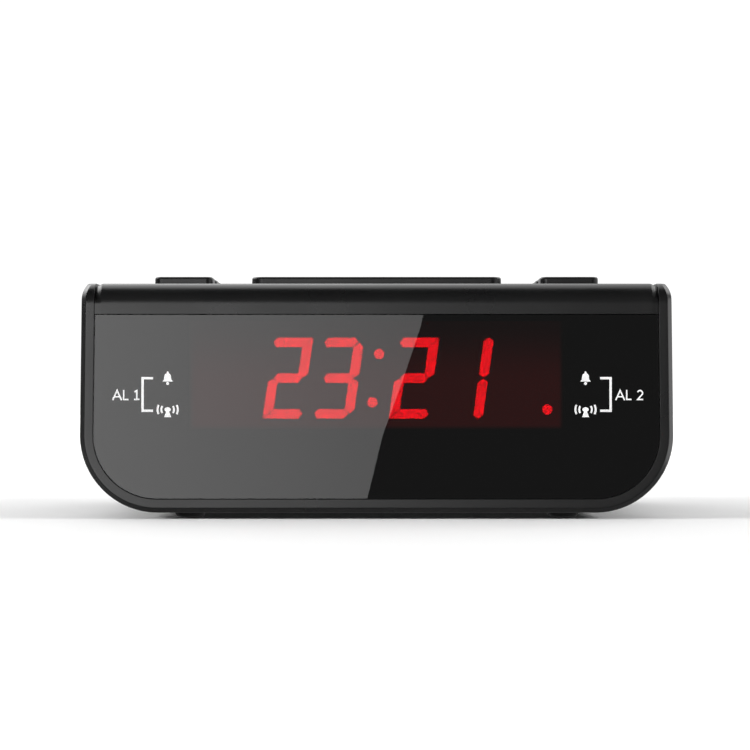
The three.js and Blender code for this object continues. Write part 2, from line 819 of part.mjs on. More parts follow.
for (const [end, y] of [
  ["front", -FOOT.y],
  ["rear", FOOT.y],
]) {
  for (const [side, x] of [
    ["left", -FOOT.x],
    ["right", FOOT.x],
  ]) {
    place(`foot_${end}_${side}`, foot(), rubber, [x, y, 0]);
  }
}
screwSpots.forEach(([x, y]) => {
  const name = `case_screw_${y < 0 ? "front" : "rear"}_${x < 0 ? "left" : "right"}`;
  place(name, caseScrew(), steel, [x, y, 0]);
});

export default clock;
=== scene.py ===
# %% [markdown]
# # A bedside clock radio
# The engineering model of the clock is loaded first and never changed: it says how big each part
# is and how it moves. Around it this notebook builds the surfaces that are seen. Each finished
# piece takes its place and size from the part that it stands for, and moves with that part's body.

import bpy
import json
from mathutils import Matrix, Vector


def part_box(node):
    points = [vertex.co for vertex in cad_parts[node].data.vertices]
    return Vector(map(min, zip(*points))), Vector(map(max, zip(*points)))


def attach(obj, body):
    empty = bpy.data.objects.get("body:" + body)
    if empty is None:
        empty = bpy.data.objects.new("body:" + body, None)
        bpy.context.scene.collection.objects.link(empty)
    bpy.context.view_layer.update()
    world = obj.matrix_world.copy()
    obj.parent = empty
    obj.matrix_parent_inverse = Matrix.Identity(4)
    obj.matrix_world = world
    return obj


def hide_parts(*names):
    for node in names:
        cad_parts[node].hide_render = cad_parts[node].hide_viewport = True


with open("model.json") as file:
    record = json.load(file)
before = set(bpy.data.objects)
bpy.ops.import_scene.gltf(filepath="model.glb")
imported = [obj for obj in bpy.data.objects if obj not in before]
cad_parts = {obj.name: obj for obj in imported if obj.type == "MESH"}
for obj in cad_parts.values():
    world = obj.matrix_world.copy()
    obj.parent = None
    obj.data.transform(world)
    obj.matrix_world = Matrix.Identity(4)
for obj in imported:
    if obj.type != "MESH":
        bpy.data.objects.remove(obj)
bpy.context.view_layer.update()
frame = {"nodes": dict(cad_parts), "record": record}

# %% Libraries
import json

import bmesh
import bpy
import numpy as np

MM = 0.001
WELD = 2e-6  # points nearer than this, in metres, are one point
ON_AXIS = 1e-4  # radius, in millimetres, of a turned ring that stands for a point

# %% [markdown]
# ## Sizes
# Most sizes are read from the frame, so a change of the engineering model carries over. The few
# radii below can't be read from a box, and are given here in millimetres, as a mould drawing would.


# %% Sizes read from the frame
def box_mm(node):
    """The lowest and the highest corner of a part, in millimetres."""
    low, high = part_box(node)
    return np.array(low) / MM, np.array(high) / MM


case_low, case_high = box_mm("lower_case")
lens_low, lens_high = box_mm("front_lens")
SIDE_X, REAR_Y, TOP_Z = case_high
FRONT_Y, FLOOR_Z = case_low[1], case_low[2]
COVER_X = box_mm("top_cover")[1][0]
KEY_TOP = box_mm("key_snooze")[1][2]
print(f"case {2 * SIDE_X:.1f} wide, {REAR_Y - FRONT_Y:.1f} deep, top at {TOP_Z:.1f} mm")

# %% Radii and walls
CORNER = 22.0  # lower corners of the case
NOSE = 6.0  # long upper edges, front and rear
SHOULDER_X, SHOULDER_Z = 1.5, 4.5  # the sides curve in below the flat top
LEAN = 0.5  # how much each side comes in at the top
EDGE = 1.6  # width of the bevel round the front and rear outline
FLANK = 56  # angle of that bevel to the face, in degrees
EDGE_SOFT, EDGE_TIGHT = 1.0, 0.4  # its radii at the side and at the face
WALL = 2.4  # thickness of the case
RIM = 3.95  # width of the rim round the front window
SEAM = 0.1  # the gap between the cover and the case
WINDOW_SEAM = 0.04  # the gap round the window, which is glued in
FLANGE = 4.0  # how far the rim reaches back
GROOVE, GROOVE_DEPTH = 1.75, 0.85  # width and depth of the bevel on each end of the cover
COVER_WALL = 2.2  # thickness of the cover
COVER_EDGE = 57.9  # where the cover ends and the window begins
KEY_FLANGE = 1.2  # how far the hidden edge of a key stands out
KEY_SLACK = 0.35  # gap round a key

# %% [markdown]
# ## Making a skin from rings
# Nearly every moulded part is a closed loop of points carried along a path: a key is a rounded
# rectangle carried down, a foot is a circle carried up, the case is a C-shaped wall carried round a
# U. So one function joins a stack of loops into a closed skin. The loops are worked out as whole
# arrays, because a loop over single points would be slow and hard to read.


# %% Rings, skins and pieces
def ring(outline, level, across="z"):
    """A flat loop of points (a, b) placed at one level: (a, b, level) across z, (a, level, b)
    across y, and (level, a, b) across x."""
    a, b = np.asarray(outline, float).T
    c = np.full(len(a), float(level))
    return np.stack({"z": (a, b, c), "y": (a, c, b), "x": (c, a, b)}[across], axis=-1)


def skin(rings, closed=False):
    """Points and faces of a closed surface. Point (i, j) of the grid joins (i+1, j) and (i, j+1);
    j wraps round each ring. The first and last rings are filled, or joined if closed."""
    rings = np.asarray(rings, float)
    rows, columns = rings.shape[:2]
    i = np.arange(rows if closed else rows - 1)[:, None]
    j = np.arange(columns)[None, :]
    here, below = i * columns, ((i + 1) % rows) * columns
    after = (j + 1) % columns
    faces = np.stack([here + j, here + after, below + after, below + j], axis=-1)
    faces = faces.reshape(-1, 4).tolist()
    if not closed:
        faces.append(list(range(columns)))
        faces.append(list(range((rows - 1) * columns, rows * columns)))
    return rings.reshape(-1, 3), faces


def smooth(piece, crease=32.0):
    """Shades a piece smoothly, with a hard line wherever two faces meet at more than crease."""
    piece.data.shade_smooth()
    piece.data.set_sharp_from_angle(angle=np.radians(crease))


def make(name, *skins, crease=32.0):
    """Puts skins, in millimetres, into one mesh object with its faces pointing outwards."""
    points, faces, start = [], [], 0
    for own_points, own_faces in skins:
        points.append(own_points)
        faces += [[start + k for k in face] for face in own_faces]
        start += len(own_points)
    mesh = bpy.data.meshes.new(name)
    mesh.from_pydata((np.concatenate(points) * MM).tolist(), [], faces)
    tidy = bmesh.new()
    tidy.from_mesh(mesh)
    bmesh.ops.remove_doubles(tidy, verts=tidy.verts, dist=WELD)
    bmesh.ops.recalc_face_normals(tidy, faces=tidy.faces)
    tidy.to_mesh(mesh)
    tidy.free()
    piece = bpy.data.objects.new(name, mesh)
    bpy.context.scene.collection.objects.link(piece)
    smooth(piece, crease)
    return piece


def combine(piece, tool, operation="DIFFERENCE", crease=32.0):
    """Cuts the tool out of the piece, joins it on, or keeps what they share. The tool goes."""
    step = piece.modifiers.new("combine", "BOOLEAN")
    step.operation, step.object, step.solver = operation, tool, "EXACT"
    shaped = piece.evaluated_get(bpy.context.evaluated_depsgraph_get())
    mesh = bpy.data.meshes.new_from_object(shaped)
    piece.modifiers.clear()
    piece.data, old = mesh, piece.data
    mesh.name = piece.name
    bpy.data.meshes.remove(old)
    bpy.data.objects.remove(tool)
    smooth(piece, crease)
    return piece


def settle(piece, body, slot, material, *replaced):
    """Gives a finished piece its material, its body and the parts it hides; the slot argument is not
    used. The modifier weighs each corner's normal by the area of the faces round it, so that a large
    flat face keeps a truly flat reflection up to the rounding at its edge."""
    even = piece.modifiers.new("even", "WEIGHTED_NORMAL")
    even.keep_sharp = True
    piece.data.materials.clear()
    piece.data.materials.append(material)
    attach(piece, body)
    if replaced:
        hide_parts(*replaced)
    print(f"{piece.name}: {len(piece.data.polygons)} faces on {body}")
    return piece


# %% Flat outlines
def arc(radius, start, end, steps=8, centre=(0.0, 0.0)):
    """Points of a circular arc: centre + radius (cos t, sin t), t from start to end degrees."""
    t = np.radians(np.linspace(start, end, steps))
    return np.stack([centre[0] + radius * np.cos(t), centre[1] + radius * np.sin(t)], axis=-1)


def rounded_rect(half_a, half_b, radius, steps=8, centre=(0.0, 0.0)):
    """A rectangle whose corners are quarter circles, each about a point one radius inside."""
    radius = max(radius, 0.02)
    signs = [(1, 1), (-1, 1), (-1, -1), (1, -1)]
    corners = [
        arc(radius, 90 * k, 90 * k + 90, steps, (a * (half_a - radius), b * (half_b - radius)))
        for k, (a, b) in enumerate(signs)
    ]
    return np.concatenate(corners) + np.array(centre)


def circle(radius, sides=48, centre=(0.0, 0.0)):
    """sides points at equal angles on a circle."""
    return arc(radius, 0, 360 - 360 / sides, sides, centre)


def turned(profile, across="z", centre=(0.0, 0.0), sides=48, closed=False):
    """A profile of (radius, level) points turned about an axis through centre. A closed profile
    makes a ring with a hole."""
    rings = [ring(circle(max(r, ON_AXIS), sides, centre), level, across) for r, level in profile]
    return skin(rings, closed)


def prism(outline, low, high, across="z"):
    """An outline carried straight from one level to another."""
    return skin([ring(outline, low, across), ring(outline, high, across)])


def flared(half_a, half_b, radius, centre, levels, across="z"):
    """A hole with a chamfer: a rounded rectangle that is wider by g all round at each (g, level)."""
    return skin([
        ring(rounded_rect(half_a + g, half_b + g, radius + g, centre=centre), level, across)
        for g, level in levels])


def slab(outline_at, low, high, radius, across="z", steps=4):
    """A plate from low to high with both edges rounded: outline_at(inset) is its outline moved in,
    and the inset and the height follow a quarter circle at each face."""
    t = np.radians(np.linspace(0, 90, steps))
    inset, rise = radius * (1 - np.sin(t)), radius * (1 - np.cos(t))
    levels = list(zip(inset, low + rise)) + list(zip(inset[::-1], high - rise[::-1]))
    return skin([ring(outline_at(a), level, across) for a, level in levels])


# %% [markdown]
# ## Finishes
# Injection-moulded plastic isn't a flat colour. The mould is lightly textured, so the surface has a
# fine grain that breaks up reflections, its gloss varies a little with handling, and the colour is
# never perfectly even. One function builds that from noise on the object's own coordinates; each
# finish then differs in colour, gloss, grain size and grain depth.


# %% Finish builder
def node_adder(tree):
    """A function that adds a node to that tree, and sets or links its inputs."""

    def add(kind, inputs=None, **settings):
        node = tree.nodes.new(kind)
        for key, value in settings.items():
            setattr(node, key, value)
        for key, value in (inputs or {}).items():
            if isinstance(value, bpy.types.NodeSocket):
                tree.links.new(value, node.inputs[key])
            else:
                node.inputs[key].default_value = value
        return node

    return add


def new_material(name, values):
    """A material with its shader's plain values set, and a function that adds nodes to it."""
    material = bpy.data.materials.new(name)
    material.use_nodes = True
    tree = material.node_tree
    shader = tree.nodes["Principled BSDF"]
    for key, value in values.items():
        shader.inputs[key].default_value = value
    place = tree.nodes.new("ShaderNodeTexCoord").outputs["Object"]
    return material, shader, tree.links, place, node_adder(tree)


def ramp(add, value, start, end, first, last, shape="LINEAR"):
    """Runs from first to last while value goes from start to end."""
    levels = {"Value": value, "From Min": start, "From Max": end, "To Min": first, "To Max": last}
    return add("ShaderNodeMapRange", levels, interpolation_type=shape).outputs["Result"]


def mixed(add, share, first, second):
    """A colour between two others."""
    inputs = {"Factor": share, "A": (*first, 1.0), "B": (*second, 1.0)}
    return add("ShaderNodeMix", inputs, data_type="RGBA").outputs["Result"]


def grained(name, color, roughness, grain=0.35, depth=0.012, spread=0.06, mottle=0.12):
    """A moulded or cast finish. grain and depth are the texture's size and height in millimetres,
    spread is how far the roughness wanders, and mottle how far the colour does."""
    material, shader, links, place, add = new_material(name, {"IOR": 1.46})
    patches = add("ShaderNodeTexNoise", {"Vector": place, "Scale": 45.0, "Detail": 4.0})
    share = patches.outputs["Fac"]
    level = ramp(add, share, 0.3, 0.7, roughness - spread, roughness + spread)
    links.new(level, shader.inputs["Roughness"])
    dark, light = [c * (1 - mottle) for c in color], [c * (1 + mottle) for c in color]
    links.new(mixed(add, share, dark, light), shader.inputs["Base Color"])
    speck = add("ShaderNodeTexNoise", {"Vector": place, "Scale": 1.0 / (grain * MM), "Detail": 2.0})
    bump = add("ShaderNodeBump", {"Height": speck.outputs["Fac"], "Distance": depth * MM})
    links.new(bump.outputs["Normal"], shader.inputs["Normal"])
    return material


# %% The clock's finishes
case_black = grained("case_black", (0.006, 0.006, 0.0062), 0.29, 0.3, 0.003, spread=0.03)
key_black = grained("key_black", (0.008, 0.008, 0.0083), 0.3, 0.5, 0.003, spread=0.03)
inner_black = grained("inner_black", (0.009, 0.009, 0.009), 0.6, grain=0.5, depth=0.02)
foot_rubber = grained("foot_rubber", (0.007, 0.007, 0.007), 0.8, grain=0.25, depth=0.03)
socket_black = grained("socket_black", (0.008, 0.008, 0.009), 0.45, grain=0.4, depth=0.01)
print("plastics and rubber made")

# %% [markdown]
# The bare metals are either plated, with a soft even sheen, or drawn, with fine lines along one
# direction. Stretching the noise with a Mapping node turns the grain into lines.


# %% Metals, boards and the rest
def brushed(name, color, roughness, along=(1.0, 18.0, 18.0)):
    """Drawn or rolled metal: noise squeezed across the grain by the factors in along."""
    material, shader, links, place, add = new_material(name, {"Metallic": 1.0})
    stretched = add("ShaderNodeMapping", {"Vector": place, "Scale": along}).outputs["Vector"]
    lines = add("ShaderNodeTexNoise", {"Vector": stretched, "Scale": 160.0, "Detail": 3.0})
    share = lines.outputs["Fac"]
    level = ramp(add, share, 0.0, 1.0, roughness - 0.1, roughness + 0.12)
    links.new(level, shader.inputs["Roughness"])
    dark = [c * 0.85 for c in color]
    links.new(mixed(add, share, dark, color), shader.inputs["Base Color"])
    return material


def circuit_board(name):
    """Solder mask over copper: square cells of tracks, darker where there is no copper."""
    material, shader, links, place, add = new_material(name, {"Roughness": 0.35})
    tracks = add("ShaderNodeTexBrick", {
        "Vector": place, "Scale": 120.0, "Mortar Size": 0.03, "Color1": (0.012, 0.11, 0.035, 1),
        "Color2": (0.01, 0.085, 0.028, 1), "Mortar": (0.006, 0.05, 0.018, 1)})
    links.new(tracks.outputs["Color"], shader.inputs["Base Color"])
    bump = add("ShaderNodeBump", {"Height": tracks.outputs["Fac"], "Distance": 0.04 * MM})
    links.new(bump.outputs["Normal"], shader.inputs["Normal"])
    return material


plated_steel = brushed("plated_steel", (0.52, 0.53, 0.55), 0.32)
spring_steel = brushed("spring_steel", (0.6, 0.61, 0.62), 0.24)
heat_sink = brushed("heat_sink_aluminium", (0.55, 0.56, 0.58), 0.4, along=(18.0, 18.0, 1.0))
board_green = circuit_board("board_green")
ferrite = grained("ferrite", (0.035, 0.036, 0.04), 0.6, grain=0.4, depth=0.03)
cone_paper = grained("cone_paper", (0.02, 0.019, 0.018), 0.85, grain=0.7, depth=0.08)
switch_white = grained("switch_white", (0.7, 0.68, 0.62), 0.5, mottle=0.04)
cable_grey = grained("cable_grey", (0.27, 0.28, 0.3), 0.55, mottle=0.06)
cell_blue = grained("cell_blue", (0.02, 0.09, 0.24), 0.3, grain=2.0, depth=0.01)
print("metals, boards and cables made")

# %% [markdown]
# ## The smoked window and the light behind it
# The window is one sheet of smoked acrylic. It is modelled as what it is, a closed slab that light
# passes through, so the digits really stand 2 mm behind the gloss. The tint has to be strong: the
# bars behind are bright, and everything unlit disappears. The glow strength of the bars is set so
# that what comes through the tint is a full red.

# %% Window, film and light
SMOKE = 0.05  # share of light that the acrylic lets through
GLOW = 1.2 / SMOKE  # light behind the window that is 1.2 in front of it
# painted glow of the film, which stands in for the digits' light spilling into it
FILM_PAINTED_GLOW = 0.0074 * GLOW
BAR_GLOW = 0.7 * GLOW
FADE = 1.6 * MM
SMOOTH = "SMOOTHSTEP"


def arithmetic(add, operation, *values):
    """One step of arithmetic on numbers or on what other nodes give."""
    return add("ShaderNodeMath", dict(enumerate(values)), operation=operation).outputs[0]


def painted_glow_film(name, width, low, high):
    """A red film with a painted glow: an emission that stands in for the light of the digits
    spilling into it. The painted glow fades out over the last millimetres at each end, and falls off
    from the lower edge to the upper one."""
    material, shader, links, place, add = new_material(name, {
        "Base Color": (0.9, 0.35, 0.35, 1.0), "Transmission Weight": 1.0, "Roughness": 0.0,
        "IOR": 1.01, "Emission Color": (1.0, 0.05, 0.05, 1.0)})
    split = add("ShaderNodeSeparateXYZ", {"Vector": place}).outputs
    side = arithmetic(add, "ABSOLUTE", split["X"])
    ends = ramp(add, side, width - FADE, width, 1.0, 0.0, SMOOTH)
    foot = ramp(add, split["Z"], low, low + FADE, 0.0, FILM_PAINTED_GLOW, SMOOTH)
    upper = ramp(add, split["Z"], low + (high - low) * 0.4, high, 1.0, 0.15, SMOOTH)
    both = arithmetic(add, "MULTIPLY", ends, foot)
    links.new(arithmetic(add, "MULTIPLY", both, upper), shader.inputs["Emission Strength"])
    return material


film_low, film_high = box_mm("display_filter")
# the film's material has a painted glow that stands in for the spill of the digits' light
red_film = painted_glow_film("red_film", film_high[0] * MM, film_low[2] * MM, film_high[2] * MM)
smoked = new_material("smoked_acrylic", {
    "Base Color": (SMOKE, SMOKE, SMOKE, 1.0), "Transmission Weight": 1.0, "Roughness": 0.0,
    "IOR": 1.49})[0]
led_red = new_material("led_red", {
    "Base Color": (0.2, 0.01, 0.015, 1.0), "Roughness": 0.4,
    "Emission Color": (1.0, 0.004, 0.02, 1.0), "Emission Strength": BAR_GLOW})[0]
legend_white_painted_glow = grained("legend_white_painted_glow", (0.95, 0.95, 0.95), 0.5, mottle=0.02)
# the white ink also gets a faint painted glow, an emission that brightens the print beyond its
# lighting
legend_painted_glow_shader = legend_white_painted_glow.node_tree.nodes["Principled BSDF"]
legend_painted_glow_shader.inputs["Emission Color"].default_value = (1.0, 1.0, 1.0, 1.0)
legend_painted_glow_shader.inputs["Emission Strength"].default_value = 0.25
print(f"glow behind the window {BAR_GLOW:.1f}")

# %% [markdown]
# ## Lower case
# The case is a U: the floor and both sides in one moulding, with a rim at the front and the back
# that turns inwards. A C-shaped section is carried along the U. The section is worked out once as
# depth below the skin against distance to the back, and each station of the path says where that
# section stands and how it changes: towards the top the front retreats round the long bull-nosed
# edge, the outside comes in round the shoulder, and the rim opens into the groove by the cover.


# %% The path of the case
def side_x(z):
    """Half the case's width at height z: a slight lean, then a parabola for the shoulder."""
    upright = np.minimum(z, TOP_Z - SHOULDER_Z) - (FLOOR_Z + CORNER)
    lean = LEAN * upright / (TOP_Z - FLOOR_Z - CORNER)
    rise = np.clip((z - TOP_Z + SHOULDER_Z) / SHOULDER_Z, 0, 1)
    return SIDE_X - lean - SHOULDER_X * rise**2


def nose_y(z, inset=0.0):
    """Half the depth at height z: straight, then the quarter circle of the long upper edge."""
    radius = NOSE - inset
    rise = np.clip((z - TOP_Z + NOSE) / radius, 0, 1)
    return REAR_Y - NOSE + radius * np.sqrt(1 - rise**2)


CORNER_Z = FLOOR_Z + CORNER
CORNER_X = SIDE_X - CORNER
nose_turn = np.radians(np.linspace(90, 0, 26))
upper_z = np.concatenate([TOP_Z - NOSE + NOSE * np.sin(nose_turn), [58, 52, 45, 38, 31]])
turn = np.radians(np.linspace(0, 90, 30))
right_side = np.concatenate([
    np.stack([side_x(upper_z), upper_z, -np.ones_like(upper_z), np.zeros_like(upper_z)], -1),
    np.stack([CORNER_X + CORNER * np.cos(turn), CORNER_Z - CORNER * np.sin(turn),
              -np.cos(turn), np.sin(turn)], -1),
    np.array([[x, FLOOR_Z, 0, 1] for x in (61, 45, 30, 15)]),
])
left_side = right_side[::-1] * np.array([-1, 1, -1, 1])
path = np.concatenate([right_side, left_side])
print(len(path), "stations round the case")


# %% The section of the case
def edge_profile(size):
    """The outer edge in (depth, y), times size: it leaves the side on an arc, runs straight at
    FLANK degrees to the face, and turns into the face on a second, tighter arc."""
    turn = 90 - FLANK
    slope = np.radians(FLANK)
    last = arc(EDGE_TIGHT, 90 + FLANK, 90, 5, (EDGE, -EDGE_TIGHT))
    first = arc(EDGE_SOFT, 180, 180 - turn, 4)
    ahead = (EDGE_SOFT * (1 - np.cos(np.radians(turn))), EDGE_SOFT * np.sin(np.radians(turn)))
    run = last[0, 0] - ahead[0]
    start = (0.0, last[0, 1] - run * np.tan(slope) - ahead[1])
    first = first + (EDGE_SOFT, start[1])
    return size * np.concatenate([[(0.0, start[1] - 0.5)], first, last])


def case_section(x, z, inward_x, inward_z):
    """The C-shaped loop at one station. A point (depth, y) lands at (x, z) + depth * inward."""
    depth = abs(x) - COVER_X - SEAM if z > TOP_Z - NOSE else RIM
    reach = nose_y(z)
    inner = 0.2
    wall = WALL if z < COVER_EDGE + 4 else depth
    front = np.concatenate([
        edge_profile(min(1.0, 0.6 * depth / EDGE)) + (0, reach),
        [(min(EDGE + 0.3, 0.7 * depth), reach)],
        arc(inner, 90, 0, 4, (depth - inner, reach - inner)),
        [(depth, reach - FLANGE), (wall, reach - FLANGE)],
    ])
    loop = np.concatenate([front * (1, -1), front[::-1]])
    return np.stack([x + loop[:, 0] * inward_x, loop[:, 1], z + loop[:, 0] * inward_z], -1)


case = make("case_shell", skin([case_section(*station) for station in path]))

# %% [markdown]
# Four hollow towers stand on the case's floor. The screws go up them from below. They are joined on
# after being trimmed to the outside of the case, and the deep holes and the doorway for the
# batteries are then cut through. A boolean on closed skins is the quick way to do all three.

# %% Screw towers and the battery doorway
screw_nodes = [node for node in frame["nodes"] if node.startswith("case_screw")]
screw_spots = [tuple((np.add(*box_mm(n)) / 2)[:2]) for n in screw_nodes]
SHELF_TOP = 22.0  # top of each tower
HEAD_TOP = 18.0  # top of the well that the screw's head goes up


def outer_outline(inset=0.0, top=TOP_Z - SHOULDER_Z):
    """The case's outline in (x, z), moved in, from the left side round the floor to the right."""
    radius = CORNER - inset
    right = arc(radius, -90, 0, 24, (CORNER_X, CORNER_Z))
    edge = side_x(np.array([top]))[0] - inset
    return np.concatenate([right, [(edge, top), (-edge, top)], right[::-1] * (-1, 1)])


block = make("outside", prism(outer_outline(), FRONT_Y, REAR_Y, "y"))
towers = make("towers", *[turned([(4.2, 0), (4.2, SHELF_TOP)], centre=c) for c in screw_spots])
combine(towers, block, "INTERSECT")
combine(case, towers, "UNION")
well_profile = [(3.7, 0), (3.3, 6.0), (3.3, HEAD_TOP)]
hole_profile = [(1.7, HEAD_TOP - 1), (1.7, SHELF_TOP + 1)]
combine(case, make("wells", *[turned(well_profile, centre=c) for c in screw_spots]))
combine(case, make("holes", *[turned(hole_profile, centre=c, sides=24) for c in screw_spots]))
BAY_LOW, BAY_HIGH = 11.9, 36.1  # front and rear edges of the door's plate
BAY_CENTRE = (0, (BAY_LOW + BAY_HIGH) / 2)
DOOR_X, _, DOOR_TOP = box_mm("battery_door")[1]
DOOR_SLACK = 0.4
doorway = rounded_rect(
    DOOR_X + DOOR_SLACK, (BAY_HIGH - BAY_LOW) / 2 + DOOR_SLACK, 1.0, centre=BAY_CENTRE)
combine(case, make("doorway", prism(doorway, 0, FLOOR_Z + WALL + 1)))
settle(case, "housing", "case_plastic", case_black, "lower_case")

# %% [markdown]
# ## Top cover
# The cover is a shallow tray turned upside down. Its section is the case's side view: upright at
# the front, a bull-nosed edge, flat on top, and the same again behind. That section is carried from
# one end to the other, and its ends are bevelled, which leaves a small groove beside each wall.


# %% Section of the cover
def cover_section(inset, floor, outer=True):
    """The cover's side view in (y, z), moved in by inset, closed along the level floor."""
    radius = NOSE - inset
    centre = (REAR_Y - NOSE, TOP_Z - NOSE)
    rear = arc(radius, 0, 90, 16, centre)
    flat = np.array([(REAR_Y - NOSE - 1, TOP_Z - inset)]) if outer else np.zeros((0, 2))
    half = np.concatenate([[(REAR_Y - inset, floor)], rear, flat])
    return np.concatenate([half, half[::-1] * (-1, 1)])


cover_ends = [
    (GROOVE_DEPTH, COVER_X), (0.06, COVER_X - GROOVE + 0.1), (0.0, COVER_X - GROOVE - 0.15)]


def end_ring(inset, x):
    """The cover's section near an end. The bevel is full on top and fades down the front."""
    loop = cover_section(0.0, COVER_EDGE)
    pulled = cover_section(inset, COVER_EDGE)
    share = np.clip((loop[:, 1] - TOP_Z + NOSE) / (NOSE / 2), 0.06, 1)[:, None]
    return ring(loop + (pulled - loop) * share, x, "x")


left_end = [end_ring(a, -x) for a, x in cover_ends]
right_end = [end_ring(a, x) for a, x in cover_ends[::-1]]
cover = make("cover_shell", skin(left_end + right_end))
tray = cover_section(COVER_WALL, COVER_EDGE - 2, outer=False)
tray_x = COVER_X - COVER_WALL
combine(cover, make("tray", prism(tray, -tray_x, tray_x, "x")))

# %% [markdown]
# Each key stands in a well with a fine chamfer, and a field of slots lets the sound out. The wells
# and slots are lofted a little wider above the surface, so the cut leaves the chamfer by itself.

# %% Wells and sound slots
stations = ["snooze"] + [f"{s}_{r}" for s in ("left", "right") for r in ("front", "middle", "rear")]
key_box = {}
for station in stations:
    low, high = box_mm(f"key_{station}")
    centre = (low + high) / 2
    half = (high - low) / 2 - KEY_FLANGE
    key_box[station] = (centre[0], centre[1], half[0], half[1])
CHAMFER = 0.3
THROUGH = TOP_Z - 4  # a level below the cover's wall


def key_corner(station):
    """Corner radius of a key in plan."""
    return 3.2 if station == "snooze" else 2.0


def well(station):
    """The hole for one key: its outline with slack all round, flared through the top surface."""
    x, y, a, b = key_box[station]
    levels = [(0, THROUGH), (0, TOP_Z - CHAMFER), (CHAMFER, TOP_Z), (2 * CHAMFER, TOP_Z + CHAMFER)]
    return flared(a + KEY_SLACK, b + KEY_SLACK, key_corner(station), (x, y), levels)


speaker_low, speaker_high = box_mm("speaker_frame")
SPEAKER_Y = (speaker_low[1] + speaker_high[1]) / 2
GRILLE = 22.5  # radius of the field of slots
SLOT_PITCH = 3.75
SLOT_HALF = 0.9


def sound_slot(row):
    """One slot of the grille, as long as the circle is wide at that row."""
    offset = row * SLOT_PITCH
    half = np.sqrt(GRILLE**2 - offset**2)
    levels = [(0, THROUGH), (0, TOP_Z - 0.25), (0.25, TOP_Z), (0.5, TOP_Z + 0.25)]
    return flared(half, SLOT_HALF, SLOT_HALF, (0, SPEAKER_Y + offset), levels)


combine(cover, make("wells", *[well(s) for s in stations]))
combine(cover, make("slots", *[sound_slot(row) for row in range(-5, 6)]))
settle(cover, "housing", "case_plastic", case_black, "top_cover")

# %% [markdown]
# ## Keys
# A key cap is a rounded rectangle carried downwards: a slightly domed top, a round shoulder of less
# than a millimetre, straight sides, and a wider flange under the cover that keeps it in.


# %% Key caps
def key_cap(station):
    """The cap's rings from the middle of its top, out over the dome and down to the flange."""
    x, y, a, b = key_box[station]
    corner = key_corner(station)
    shoulder, dome = 0.7, 0.15
    share = np.array([0.0, 0.25, 0.5, 0.75, 0.9, 1.0])
    top = [((1 - s) * (b - shoulder) * 0.98 + shoulder, KEY_TOP - dome * s**2) for s in share]
    fall = np.radians(np.linspace(80, 0, 7))
    edge = [(shoulder * (1 - np.cos(t)), KEY_TOP - dome - shoulder * (1 - np.sin(t))) for t in fall]
    under = TOP_Z - COVER_WALL - 0.3
    skirt = [(0.0, TOP_Z - 1.0), (0.0, under), (-KEY_FLANGE, under), (-KEY_FLANGE, under - 1.4)]
    rings = [ring(rounded_rect(a - i, b - i, max(corner - i, 0.05), 10, (x, y)), z)
             for i, z in top + edge + skirt]
    post = turned([(2.0, under - 1.2), (2.0, under - 2.3)], centre=(x, y), sides=24)
    return make(f"cap_{station}", skin(rings), post)


for station in stations:
    body = "snooze_bar" if station == "snooze" else f"button_{station}"
    settle(key_cap(station), body, "key_plastic", key_black, f"key_{station}")

# %% [markdown]
# ## Front window
# The window is a flat slab with a hair of rounding at its edge. Its outline repeats the case's, one
# rim further in, so the gap round it is even.


# %% The smoked window
def window_outline(inset, top=lens_high[2]):
    """The window's outline in (x, z): the inside of the rim, less the gap, with small corners."""
    gap = RIM + WINDOW_SEAM + inset
    radius = CORNER - gap
    right = arc(radius, -90, 0, 20, (CORNER_X, CORNER_Z))
    high = top - inset
    edge = side_x(np.array([high]))[0] - gap - 0.05
    corner = arc(0.3, 0, 90, 4, (edge - 0.3, high - 0.3))
    half = np.concatenate([right, corner])
    return np.concatenate([half, half[::-1] * (-1, 1)])


LENS_FRONT, LENS_BACK = lens_low[1], lens_high[1]
window = make("smoked_window", slab(window_outline, LENS_FRONT, LENS_BACK, 0.08, "y"))
settle(window, "housing", "smoked_window", smoked, "front_lens")

# %% [markdown]
# ## The digits
# Each digit has seven bars. The shape of a bar is a flat hexagon with pointed ends; where two lit
# bars of a 2 share a corner, they are mitred against each other instead. The whole digit leans over
# by eight degrees, which is a shear: x grows with height.

# %% Digit shapes
DIGIT_HEIGHT = 22.86
DIGIT_WIDTH = 11.1
BAR = 2.65  # height of a level bar
UPRIGHT = 2.75  # width of an upright one
POINT = 0.9
CUT = 0.14  # half the seam between two bars that are cut against each other
SLANT = np.tan(np.radians(8.0))
DIGIT_X = [-32.24, -17.75, 3.46, 18.9]
DIGIT_Z = 28.35


def flat_bar(middle_z, left, right):
    """A level bar, pointed at both ends."""
    h = BAR / 2
    return [(left, middle_z), (left + POINT, middle_z - h), (right - POINT, middle_z - h),
            (right, middle_z), (right - POINT, middle_z + h), (left + POINT, middle_z + h)]


def upright_bar(middle_x, low, high):
    """An upright bar, pointed at both ends."""
    h = UPRIGHT / 2
    return [(middle_x, low), (middle_x + h, low + POINT), (middle_x + h, high - POINT),
            (middle_x, high), (middle_x - h, high - POINT), (middle_x - h, low + POINT)]


HALF = DIGIT_HEIGHT / 2
LEFT_BAR, RIGHT_BAR = UPRIGHT / 2, DIGIT_WIDTH - UPRIGHT / 2
MIDDLE_GAP = 0.25


